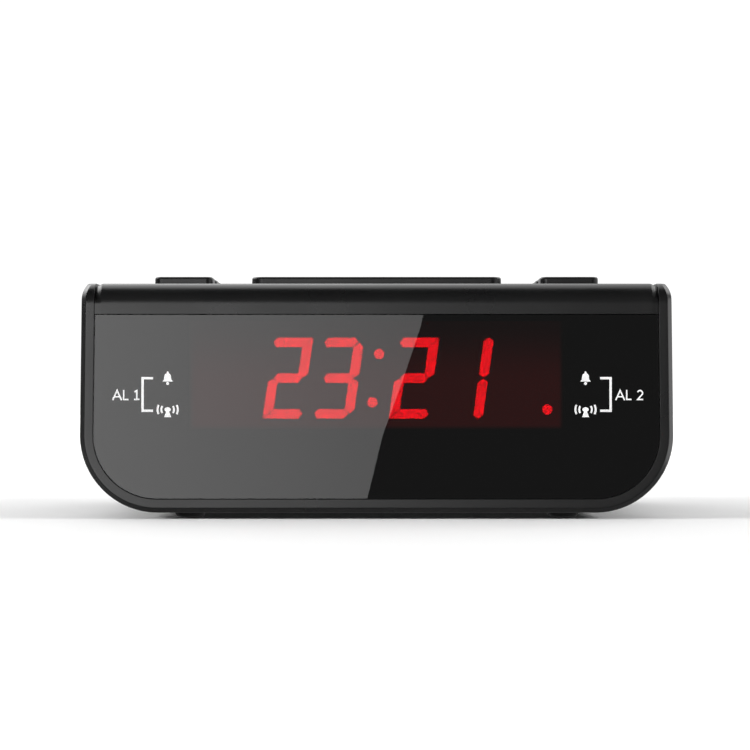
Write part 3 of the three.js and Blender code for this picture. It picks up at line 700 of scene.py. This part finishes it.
def mitred_corner():
    """The lower left corner of a 2: an upright and a level bar, cut against each other at 45
    degrees with a fine seam between them."""
    end = HALF - MIDDLE_GAP
    upright = [(0, CUT), (UPRIGHT, BAR + CUT), (UPRIGHT, end - POINT), (LEFT_BAR, end),
               (0, end - POINT)]
    tip = DIGIT_WIDTH - 0.1
    level = [(CUT, 0), (tip - POINT, 0), (tip, BAR / 2), (tip - POINT, BAR), (UPRIGHT + CUT, BAR)]
    return [upright, level]


def turned_half(bars):
    """The same bars turned by half a turn about the middle of the digit."""
    return [[(DIGIT_WIDTH - x, DIGIT_HEIGHT - z) for x, z in bar] for bar in bars]


def pointed_corner():
    """The lower right corner of a 3: both bars end in a point, and meet along one slanting seam."""
    inner, outer = DIGIT_WIDTH - UPRIGHT, DIGIT_WIDTH
    level = [(0, BAR / 2), (POINT, 0), (inner, 0), (inner + BAR / 2 - CUT, BAR / 2 - CUT),
             (inner - CUT, BAR - CUT / 2), (POINT, BAR)]
    end = HALF - MIDDLE_GAP
    upright = [(RIGHT_BAR + CUT, BAR / 2), (outer, BAR), (outer, end - POINT),
               (RIGHT_BAR, end), (inner, end - POINT), (inner, BAR + CUT)]
    return [level, upright]


def flipped(bars):
    """The same bars upside down."""
    return [[(x, DIGIT_HEIGHT - z) for x, z in bar] for bar in bars]


def digit_bars(figure):
    """The lit bars of the figures 1, 2 and 3."""
    if figure == 1:
        lower = [upright_bar(RIGHT_BAR, 0, HALF - MIDDLE_GAP)]
        return lower + flipped(lower)
    if figure == 2:
        middle = flat_bar(HALF, LEFT_BAR + MIDDLE_GAP, RIGHT_BAR - MIDDLE_GAP)
        return mitred_corner() + turned_half(mitred_corner()) + [middle]
    middle = flat_bar(HALF, 1.2, RIGHT_BAR - MIDDLE_GAP)
    return pointed_corner() + flipped(pointed_corner()) + [middle]


# %% [markdown]
# The lit bars stand on the face of the display moulding, just behind the film. They are thin closed
# plates that glow. A colon and one small lamp beside the display complete what is switched on.

# %% Digits, colon and lamp
BAR_BACK = box_mm("display_reflector")[0][1] - 0.01
BAR_FRONT = film_high[1] + 0.03


def lit_plate(outline):
    """A thin plate of that outline between the display moulding and the film."""
    return prism(outline, BAR_BACK, BAR_FRONT, "y")


for place, (left, figure) in enumerate(zip(DIGIT_X, (2, 3, 2, 1)), start=1):
    plates = []
    for bar in digit_bars(figure):
        x, z = np.array(bar).T
        plates.append(lit_plate(np.stack([left + x + SLANT * z, DIGIT_Z + z], -1)))
    settle(make(f"digit_{place}", *plates), "housing", "led_red", led_red)

DOT_RADIUS = 1.45
dots = {"colon_dots": [(-1.2, 32.95), (0.7, 46.6)], "alarm_lamp": [(48.3, 30.9)]}
for name, centres in dots.items():
    plates = [lit_plate(circle(DOT_RADIUS, 40, centre)) for centre in centres]
    settle(make(name, *plates), "housing", "led_red", led_red)
film_outline = rounded_rect(film_high[0], (film_high[2] - film_low[2]) / 2, 0.8,
                            centre=(0, (film_low[2] + film_high[2]) / 2))
# the film piece shows that painted glow of the digits' spilled light
film = make("display_film", prism(film_outline, film_low[1], film_high[1] - 0.02, "y"))
settle(film, "housing", "red_film", red_film, "display_filter")

# %% [markdown]
# ## Printed legends
# The window carries fine white printing: a name for each of the two alarms, and a bracket that
# points at a bell and at a radio mast, the two ways to be woken. Ink is a thin layer with square
# edges, so each stroke is a flat ribbon carried forward by a few hundredths of a millimetre.

# %% Strokes of ink
INK_BACK = LENS_FRONT - 0.002
INK_FRONT = LENS_FRONT - 0.03


def ink(outline):
    """A flat shape of ink on the window."""
    return prism(outline, INK_BACK, INK_FRONT, "y")


def stroke(points, width):
    """A ribbon of even width along a line of points: each point moves by half the width along the
    mean of its neighbours' normals, lengthened at a bend so that the width stays even."""
    p = np.asarray(points, float)
    step = np.diff(p, axis=0)
    step /= np.linalg.norm(step, axis=1)[:, None]
    normal = np.stack([-step[:, 1], step[:, 0]], -1)
    joint = np.concatenate([normal[:1], normal[:-1] + normal[1:], normal[-1:]])
    joint /= np.linalg.norm(joint, axis=1)[:, None]
    lengthen = 1 / np.sum(joint * np.concatenate([normal[:1], normal]), axis=1)
    side = joint * (width / 2 * lengthen)[:, None]
    return ink(np.concatenate([p + side, (p - side)[::-1]]))


CAP = 2.9  # height of a capital letter
PEN = 0.4  # width of its strokes


def letter_a(x, z):
    """A capital A: two slanting strokes and a bar."""
    width = 2.5
    legs = [(x, z), (x + width / 2, z + CAP - 0.15), (x + width, z)]
    return [stroke(legs, PEN), stroke([(x + 0.5, z + 0.95), (x + width - 0.5, z + 0.95)], 0.34)]


def letter_l(x, z):
    """A capital L: one stroke with a corner."""
    return [stroke([(x, z + CAP), (x, z + PEN / 2), (x + 1.35, z + PEN / 2)], PEN)]


def figure_1(x, z):
    """A figure 1 with a flag and a foot."""
    flag = [(x + 0.1, z + CAP - 0.65), (x + 0.75, z + CAP - 0.2), (x + 0.75, z + PEN)]
    return [stroke(flag, PEN), stroke([(x, z + PEN / 2), (x + 1.5, z + PEN / 2)], PEN)]


def figure_2(x, z):
    """A figure 2: a bow, a diagonal and a foot."""
    bow = arc(0.72, 160, -35, 14, (x + 0.8, z + CAP - 0.9))
    tail = [(x + 0.15, z + PEN / 2), (x + 1.65, z + PEN / 2)]
    return [stroke(np.concatenate([bow, tail]), PEN)]


HEAD_TURN = np.radians(np.linspace(0, 345, 24))


def mast(x, z):
    """A radio mast: an oval head on a narrow cone, with two waves on each side."""
    head = np.stack([x + 0.88 * np.cos(HEAD_TURN), z + 0.1 + 0.66 * np.sin(HEAD_TURN)], -1)
    cone = [(x - 1.0, z - 2.05), (x + 1.0, z - 2.05), (x + 0.22, z), (x - 0.22, z)]
    waves = [
        stroke(arc(radius, middle - reach, middle + reach, 12, (x, z + 0.1)), 0.52)
        for radius, reach in ((1.78, 33), (2.85, 27))
        for middle in (0, 180)
    ]
    return [ink(head), ink(cone)] + waves


def bell(x, z):
    """A bell: a domed body that flares at the rim, with a clapper below."""
    dome = arc(0.95, 0, 180, 14, (x, z + 0.35))
    body = np.concatenate([[(x + 1.5, z - 1.05), (x + 1.05, z - 0.5)], dome,
                           [(x - 1.05, z - 0.5), (x - 1.5, z - 1.05)]])
    return [ink(body), ink(circle(0.42, 16, (x, z - 1.6))), ink(circle(0.3, 12, (x, z + 1.5)))]


# %% Both sets of legends
BRANCH_LOW, BRANCH_HIGH = 30.55, 39.75  # heights of the bracket's two ends
BRACKET_X, BRACKET_END = 66.06, 63.1
ICON_X = 58.98
NAME_Z = 33.55


def legends(side):
    """The bracket, mast, bell and name on the left (side -1) or the right (side 1)."""
    bracket = [(side * BRACKET_END, BRANCH_LOW), (side * BRACKET_X, BRANCH_LOW),
               (side * BRACKET_X, BRANCH_HIGH), (side * BRACKET_END, BRANCH_HIGH)]
    shapes = [stroke(bracket, 0.66)]
    shapes += mast(side * ICON_X, BRANCH_LOW + 0.25) + bell(side * ICON_X, BRANCH_HIGH + 0.1)
    start, figure = (-74.5, figure_1) if side < 0 else (67.5, figure_2)
    name = letter_a(start, NAME_Z) + letter_l(start + 3.1, NAME_Z) + figure(start + 6.05, NAME_Z)
    return shapes + name


for side, label in ((-1, "left"), (1, "right")):
    settle(make(f"legends_{label}", *legends(side)), "housing", "print_white", legend_white_painted_glow)

# %% [markdown]
# ## Back
# The rear panel sits in the rim as the window does in front. It has a row of cooling slots, a
# stepped hole for the supply socket and a small one for the aerial's grommet.

# %% Rear panel
panel_low, panel_high = box_mm("rear_panel")
PANEL_BACK, PANEL_FACE = panel_low[1], panel_high[1]


def panel_outline(inset):
    """The rear panel's outline, one gap inside the rim."""
    return window_outline(inset, panel_high[2])


panel = make("back_panel", slab(panel_outline, PANEL_BACK, PANEL_FACE, 0.25, "y"))
SOCKET, GROMMET = (-50.0, 19.3), (50.0, 19.3)
VENT_Z, VENT_HALF = 41.0, 7.0


def vent(x):
    """One upright cooling slot, a little wider at the outside."""
    levels = [(0, PANEL_BACK - 1), (0, PANEL_FACE - 0.25), (0.3, PANEL_FACE + 0.05),
              (0.3, PANEL_FACE + 1)]
    return flared(0.9, VENT_HALF, 0.9, (x, VENT_Z), levels, "y")


def through_hole(radius, centre):
    """A round hole through the panel with a small chamfer outside."""
    profile = [(radius, PANEL_BACK - 1), (radius, PANEL_FACE - 0.3),
               (radius + 0.35, PANEL_FACE + 0.05), (radius + 0.35, PANEL_FACE + 1)]
    return turned(profile, "y", centre)


combine(panel, make("vents", *[vent(5.0 * k) for k in range(-5, 6)]))
combine(panel, make("holes", through_hole(4.9, SOCKET), through_hole(2.8, GROMMET)))
settle(panel, "housing", "case_plastic", case_black, "rear_panel")

# %% [markdown]
# The supply socket is a barrel with a pin in the middle. The grommet is a soft ring that would
# carry the aerial wire. Both are turned shapes, so their profiles say everything.

# %% Supply socket and aerial grommet
jack_low, jack_high = box_mm("dc_jack")
JACK_FACE = jack_high[1]
BORE = 3.0  # radius of the hole that the plug goes into
BORE_DEPTH = 12  # how far it goes in from the rear of the case
socket_body = rounded_rect(5.0, (jack_high[2] - jack_low[2]) / 2, 0.4,
                           centre=(SOCKET[0], (jack_low[2] + jack_high[2]) / 2))
socket = make("supply_socket", prism(socket_body, jack_low[1], REAR_Y - 3.05, "y"))
combine(socket, make("bore", turned([(BORE, REAR_Y - BORE_DEPTH), (BORE, REAR_Y)], "y", SOCKET)))
settle(socket, "housing", "chip_plastic", socket_black, "dc_jack")
mouth_profile = [(BORE, REAR_Y - 3.0), (4.55, REAR_Y - 3.0), (4.55, JACK_FACE - 0.4),
                 (4.15, JACK_FACE), (3.4, JACK_FACE), (BORE, JACK_FACE - 0.5)]
mouth = make("socket_mouth", turned(mouth_profile, "y", SOCKET, closed=True))
settle(mouth, "housing", "chip_plastic", socket_black)
pin_profile = [(0.95, REAR_Y - BORE_DEPTH), (0.95, REAR_Y - 1.5), (0.8, REAR_Y - 1.15),
               (0.4, REAR_Y - 1.0), (0.0, REAR_Y - 0.98)]
pin = make("socket_pin", turned(pin_profile, "y", SOCKET, 32))
settle(pin, "housing", "plated_steel", plated_steel)
bush_profile = [(0.8, REAR_Y - 4.2), (3.8, REAR_Y - 4.2), (3.8, REAR_Y - 2.8),
                (2.55, REAR_Y - 2.8), (2.55, REAR_Y - 0.5), (2.2, REAR_Y - 0.05),
                (1.3, REAR_Y - 0.05), (0.8, REAR_Y - 0.4)]
bush = make("aerial_bush", turned(bush_profile, "y", GROMMET, 40, closed=True))
settle(bush, "housing", "rubber", foot_rubber, "aerial_grommet")

# %% [markdown]
# ## Underneath
# Four soft feet carry the clock. Each is a shallow dome, narrower where it meets the table. The
# screws are pan heads with a cross recess, deep in their wells.


# %% Feet and screws
def foot_profile(top_radius=4.4, floor_radius=3.1, height=1.68):
    """From the table up: a flat, a round flank (a quarter of an ellipse) and the top."""
    t = np.radians(np.linspace(0, 90, 9))
    radii = floor_radius + (top_radius - floor_radius) * np.sin(t)
    flank = list(zip(radii, height * (1 - np.cos(t)) * 0.98))
    return [(0.0, 0.0)] + flank + [(top_radius, height), (0.0, height)]


def screw(name):
    """A pan-head screw, head down, with a cross recess and a plain shank."""
    low, high = box_mm(name)
    centre, start = (low[:2] + high[:2]) / 2, low[2]
    head = [(0.0, start), (1.9, start + 0.05), (2.6, start + 0.45), (2.9, start + 1.1),
            (2.9, start + 2.0), (1.4, start + 2.0), (1.4, high[2]), (0.0, high[2])]
    piece = make(name.replace("case_screw", "screw"), turned(head, centre=centre, sides=40))
    for half_x, half_y in ((1.8, 0.42), (0.42, 1.8)):
        arm = rounded_rect(half_x, half_y, 0.15, 4, centre)
        combine(piece, make("arm", prism(arm, start - 1, start + 1.1)))
    return piece


for node in [n for n in frame["nodes"] if n.startswith("foot_")]:
    low, high = box_mm(node)
    pad = make(node.replace("foot", "pad"), turned(foot_profile(), centre=(low[:2] + high[:2]) / 2))
    settle(pad, "housing", "rubber", foot_rubber, node)
for node in screw_nodes:
    settle(screw(node), "housing", "plated_steel", plated_steel, node)

# %% [markdown]
# The battery door lies flush in the case's floor. It has two hooks at its front edge, a springy
# tongue at the rear, and a finger notch with fine grip ribs beside it.

# %% Battery door
DOOR_THICK = 1.8


def door_outline(inset):
    """The plate of the door, moved in."""
    half_y = (BAY_HIGH - BAY_LOW) / 2 - inset
    return rounded_rect(DOOR_X - inset, half_y, 0.7 - inset / 2, 6, BAY_CENTRE)


def bar_skin(x0, x1, y0, y1, z0, z1):
    """A small block with its corners just taken off in plan."""
    outline = rounded_rect((x1 - x0) / 2, (y1 - y0) / 2, 0.2, 4, ((x0 + x1) / 2, (y0 + y1) / 2))
    return prism(outline, z0, z1)


door = make("battery_hatch", slab(door_outline, FLOOR_Z, FLOOR_Z + DOOR_THICK, 0.3))
notch = [(7.0, FLOOR_Z - 0.5), (7.0, FLOOR_Z), (6.2, FLOOR_Z + 0.9)]
combine(door, make("notch", skin([
    ring(rounded_rect(a, a * 0.3 - 0.3, 0.8, 8, (0, BAY_HIGH - 3.6)), z) for a, z in notch])))
HOOKS = (-17, 17)
extras = [bar_skin(x - 3, x + 3, BAY_LOW + 0.2, BAY_LOW + 2, FLOOR_Z + 1, DOOR_TOP) for x in HOOKS]
extras += [bar_skin(x - 3, x + 3, BAY_LOW - 1.3, BAY_LOW + 1, DOOR_TOP - 0.9, DOOR_TOP)
           for x in HOOKS]
extras += [bar_skin(-5, 5, BAY_HIGH - 1.4, BAY_HIGH - 0.3, FLOOR_Z + 1, DOOR_TOP)]
for extra in extras:
    combine(door, make("extra", extra), "UNION")
settle(door, "battery_door", "case_plastic", case_black, "battery_door")
ribs = make("hatch_ribs", *[
    turned([(0.28, -4.5), (0.28, 4.5)], "x", (BAY_HIGH - 6.4 - 1.3 * k, FLOOR_Z + 0.24), 20)
    for k in range(4)])
settle(ribs, "battery_door", "case_plastic", case_black)

# %% [markdown]
# ## Loudspeaker
# Through the slots the loudspeaker's paper cone can be seen, with its dust cap and a half-round
# roll at its edge. Cone, roll and cap are turned profiles on the moving body. The steel basket
# stays, and the roll keeps clear of it when the cone moves in.

# %% Cone and basket
CONE_LOW, CONE_TOP = (corner[2] for corner in box_mm("speaker_cone"))
CAP_LOW, CAP_TOP = (corner[2] for corner in box_mm("speaker_dust_cap"))
BASKET_LOW, BASKET_TOP = speaker_low[2], speaker_high[2]
AXIS = (0.0, SPEAKER_Y)
CAP_RADIUS = 7.0
half_turn = np.radians(np.linspace(0, 180, 9))
roll = list(zip(18.9 + 0.7 - 0.7 * np.cos(half_turn), CONE_TOP - 0.7 + 0.65 * np.sin(half_turn)))
cone_profile = [(7.6, CONE_LOW), (7.6, CONE_LOW + 0.6), (17.6, CONE_TOP - 1.4),
                (18.6, CONE_TOP - 0.8)] + roll
cone_profile += [(20.1, CONE_TOP - 0.9), (19.0, CONE_TOP - 1.0), (8.2, CONE_LOW)]
cone = make("cone", turned(cone_profile, centre=AXIS, sides=64, closed=True))
settle(cone, "speaker_cone", "cone_paper", cone_paper, "speaker_cone")
quarter = np.radians(np.linspace(0, 90, 10))
dome_z = CAP_LOW + 0.3 + (CAP_TOP - CAP_LOW - 0.3) * np.sin(quarter)
dome = [(0.0, CAP_LOW), (CAP_RADIUS, CAP_LOW)] + list(zip(CAP_RADIUS * np.cos(quarter), dome_z))
cap = make("dust_cap", turned(dome, centre=AXIS, sides=64))
settle(cap, "speaker_cone", "cone_paper", cone_paper, "speaker_dust_cap")
basket_profile = [(22.0, BASKET_TOP - 1.0), (13.5, BASKET_LOW + 1.6), (13.5, BASKET_LOW),
                  (15.4, BASKET_LOW), (24.1, BASKET_TOP - 2.4), (25.3, BASKET_TOP - 2.4),
                  (25.5, BASKET_TOP - 2.2), (25.5, BASKET_TOP - 0.2), (25.3, BASKET_TOP),
                  (22.2, BASKET_TOP), (22.0, BASKET_TOP - 0.2)]
basket = make("basket", turned(basket_profile, centre=AXIS, sides=64, closed=True))
settle(basket, "housing", "plated_steel", plated_steel, "speaker_frame")

# %% [markdown]
# ## Batteries
# With the door open the two back-up cells show: a bare steel can under a plain blue wrap, with a
# raised positive end.

# %% Cells
CELL_RADIUS = 5.25


def cell(node, name):
    """The wrap and the steel ends of one cell lying along x, its nub on the side that the
    engineering model gives it."""
    low, high = box_mm(node)
    towards = 1 if node.endswith("front") else -1
    start = low[0] if towards > 0 else high[0]
    axis = ((low[1] + high[1]) / 2, (low[2] + high[2]) / 2)

    def along(profile):
        return turned([(r, start + towards * d) for r, d in profile], "x", axis, 56)

    wrap = make(f"{name}_wrap", along(
        [(4.4, 0.25), (5.0, 0.12), (CELL_RADIUS, 0.45), (CELL_RADIUS, 43.0), (5.0, 43.35),
         (4.0, 43.2)]))
    ends = make(f"{name}_ends", along([(0.0, 0.0), (3.9, 0.0), (4.2, 0.2), (4.2, 0.35)]),
                along([(3.9, 43.1), (3.9, 43.45), (1.95, 43.5), (1.9, 44.3), (1.6, 44.5),
                       (0.0, 44.5)]))
    return wrap, ends


for end in ("front", "rear"):
    wrap, ends = cell(f"battery_cell_{end}", f"cell_{end}")
    settle(wrap, "housing", "cell_wrap", cell_blue, f"battery_cell_{end}")
    settle(ends, "housing", "plated_steel", plated_steel)

# %% [markdown]
# ## The parts that stay
# The boards, the switches, the magnet and the small parts inside have the right shape already. They
# keep their engineering meshes, and only take a finish, chosen by their slot in the record.

# %% Finishes for the parts inside
by_slot = {
    "inner_plastic": inner_black, "reflector_plastic": inner_black, "circuit_board": board_green,
    "chip_plastic": socket_black, "switch_white": switch_white, "cable_grey": cable_grey,
    "cone_paper": cone_paper, "ferrite": ferrite, "heat_sink": heat_sink,
    "plated_steel": plated_steel, "spring_steel": spring_steel, "cell_wrap": cell_blue,
    "rubber": foot_rubber, "case_plastic": case_black, "key_plastic": key_black,
    "smoked_window": smoked, "red_film": red_film,
}
for row in frame["record"]["subparts"]:
    slots = frame["nodes"][row["node"]].data.materials
    slots.clear()
    slots.append(by_slot[row["material_slot"]])

# %% [markdown]
# ## Studio
# The clock stands on a white floor before a white backdrop. Black plastic shows nothing but what it
# reflects, so there are two kinds of light. Cards are there to be reflected: a tall one in front on
# the left puts a soft sheen on half of the window, and its slanting edge ends the sheen on a
# diagonal; a wide one behind draws a line along the top edge; narrow ones light the sides. Area
# lights, which reflections don't show, light the floor and cast the soft shadows.


# %% Floor and cards
def flat_sheet(name, corners, material):
    """A flat stage surface with those corners. Three corners make a parallelogram."""
    corners = [np.array(corner) for corner in corners]
    if len(corners) == 3:
        corners.append(corners[0] + corners[2] - corners[1])
    mesh = bpy.data.meshes.new(name)
    mesh.from_pydata((np.array(corners) * MM).tolist(), [], [list(range(len(corners)))])
    sheet = bpy.data.objects.new(name, mesh)
    sheet.data.materials.append(material)
    bpy.context.scene.collection.objects.link(sheet)
    return sheet


def light_card(name, corners, strength, far=None, span=(-1, 1), along="X"):
    """A glowing card that only reflections see. If far is given, its strength runs from strength
    to far between the two places in span, along that axis."""
    material, shader, links, place, add = new_material(name, {
        "Base Color": (0, 0, 0, 1), "Emission Color": (1, 1, 1, 1), "Emission Strength": strength})
    if far is not None:
        split = add("ShaderNodeSeparateXYZ", {"Vector": place})
        level = ramp(add, split.outputs[along], span[0] * MM, span[1] * MM, strength, far)
        links.new(level, shader.inputs["Emission Strength"])
    card = flat_sheet(name, corners, material)
    card.visible_camera = False
    card.visible_diffuse = False


def white_floor(name):
    """Matt white paper with a painted glow that grows with distance, standing in for the light on a
    lit sweep of paper, so that it runs into the white backdrop with no line."""
    material, shader, links, place, add = new_material(name, {
        "Base Color": (0.88, 0.88, 0.88, 1.0), "Roughness": 0.9,
        "Emission Color": (1.0, 1.0, 1.0, 1.0)})
    away = add("ShaderNodeVectorMath", {0: place}, operation="LENGTH").outputs["Value"]
    links.new(ramp(add, away, 0.22, 2.4, 0.0, 1.05), shader.inputs["Emission Strength"])
    return material


FLOOR_X, FLOOR_FRONT, FLOOR_REAR = 4000, -2500, 6000
floor = flat_sheet(
    "floor", [(-FLOOR_X, FLOOR_FRONT, 0), (FLOOR_X, FLOOR_FRONT, 0), (FLOOR_X, FLOOR_REAR, 0)],
    white_floor("floor_white"))
floor.visible_glossy = False
floor.visible_transmission = False

# %% Cards
SHEEN_Y = -1560
sheen_outline = [
    (-820, -700), (-160, -700), (-12, -75), (6, 0), (24, 50), (38, 92), (44, 120), (42, 150),
    (28, 200), (0, 260), (-60, 340), (-820, 400)]
light_card("sheen_card", [(x, SHEEN_Y, z) for x, z in sheen_outline], 3.3, 1.95, (-300, 60))
cards = {
    "top_card": ([(-2200, 150, 1500), (2200, 150, 1500), (2200, 2600, 1100)],
                 2.35, 1.2, (-250, 250)),
    "right_card": ([(1500, 1800, -500), (1500, -1400, -500), (1500, -1400, 420)], 1.35),
    "left_high_card": ([(-1700, 200, 420), (-1700, 2200, 420), (-1700, 2200, 2000)],
                       0.2, 2.3, (480, 1100), "Z"),
    "left_top_card": ([(-2200, 150, 1440), (-800, 150, 1440), (-800, 1500, 1200)], 5.5),
    "right_top_card": ([(2200, 150, 1440), (800, 150, 1440), (800, 1500, 1200)], 3.2),
    "left_card": ([(-1500, 200, -150), (-1500, -200, -150), (-1500, -200, 400)], 0.8),
}
for name, settings in cards.items():
    light_card(name, *settings)
print(len(cards) + 1, "cards round the clock")

# %% Area lights
import mathutils


def area_light(name, place, size, power):
    """A rectangular light at that place, in metres, that faces the clock and casts soft shadows."""
    data = bpy.data.lights.new(name, "AREA")
    data.shape = "RECTANGLE"
    data.size, data.size_y = size
    data.energy = power
    light = bpy.data.objects.new(name, data)
    light.location = place
    light.rotation_euler = mathutils.Vector(place).to_track_quat("Z", "Y").to_euler()
    for kind in ("camera", "glossy", "transmission"):
        setattr(light, f"visible_{kind}", False)
    bpy.context.scene.collection.objects.link(light)
    print(f"{name}: {power} W")


area_light("ceiling", (0, 1.0, 1.6), (5.0, 6.0), 71)
area_light("left_fill", (-1.5, -0.22, 0.45), (0.3, 0.5), 32)
area_light("right_fill", (1.5, -0.22, 0.45), (0.3, 0.5), 32)

# %% [markdown]
# The world is what the clock reflects where there is no card. The camera itself sees plain white,
# but a gloss looks into a dim room that is brighter behind the clock, and low down at the sides, so
# the back and the lower corners don't sink into black.

# %% World
world = bpy.data.worlds.new("studio")
bpy.context.scene.world = world
world.use_nodes = True
world.node_tree.nodes.clear()
add = node_adder(world.node_tree)
way = add("ShaderNodeTexCoord").outputs["Generated"]
split = add("ShaderNodeSeparateXYZ", {"Vector": way}).outputs
sideways = arithmetic(add, "ABSOLUTE", split["X"])
in_front = ramp(add, split["Y"], -0.9, -0.35, 0.2, 0.03, SMOOTH)
to_rear = ramp(add, split["Y"], 0.55, 0.92, 0.0, 1.0, SMOOTH)
far_wall = ramp(add, split["Z"], -0.25, -0.05, 0.0, 0.45, SMOOTH)
far_corner = ramp(add, sideways, 0.22, 0.42, 0.0, 1.3, SMOOTH)
corner_height = ramp(add, split["Z"], -0.75, -0.5, 0.0, 1.0, SMOOTH)
down = ramp(add, split["Z"], -0.05, -0.3, 0.0, 0.17, SMOOTH)
wide = ramp(add, sideways, 0.82, 0.96, 1.0, 2.6, SMOOTH)
rear_room = arithmetic(add, "ADD", far_wall, arithmetic(add, "MULTIPLY", far_corner, corner_height))
behind = arithmetic(add, "MULTIPLY", to_rear, rear_room)
below = arithmetic(add, "MULTIPLY", down, wide)
level = arithmetic(add, "ADD", arithmetic(add, "ADD", in_front, behind), below)
SEEN = 1.1  # brightness of the backdrop in the picture
room, backdrop = (
    add("ShaderNodeBackground", {"Color": (1, 1, 1, 1), "Strength": strength}).outputs["Background"]
    for strength in (level, SEEN))
ray = add("ShaderNodeLightPath").outputs["Is Camera Ray"]
choose = add("ShaderNodeMixShader", {"Fac": ray, 1: room, 2: backdrop})
add("ShaderNodeOutputWorld", {"Surface": choose.outputs["Shader"]})
print("world set")

# %% [markdown]
# ## Camera
# A long lens looks at the clock from straight in front, at the height of its middle, and is turned
# up by less than half a degree, so the sides of the case stay upright.

# %% Camera
AWAY = 0.751  # metres from the clock's front
HEIGHT, ASIDE = 35.4, -0.45
TURNED_UP = 0.4
camera_data = bpy.data.cameras.new("camera")
camera_data.lens = 127.73
camera_data.sensor_width = 36.0
camera_data.clip_start = 0.05
camera = bpy.data.objects.new("camera", camera_data)
camera.location = (ASIDE * MM, FRONT_Y * MM - AWAY, HEIGHT * MM)
camera.rotation_euler = (np.radians(90 + TURNED_UP), 0.0, 0.0)
bpy.context.scene.collection.objects.link(camera)
bpy.context.scene.camera = camera
bpy.context.scene.view_settings.view_transform = "Standard"
print(f"camera {AWAY:.2f} m in front")
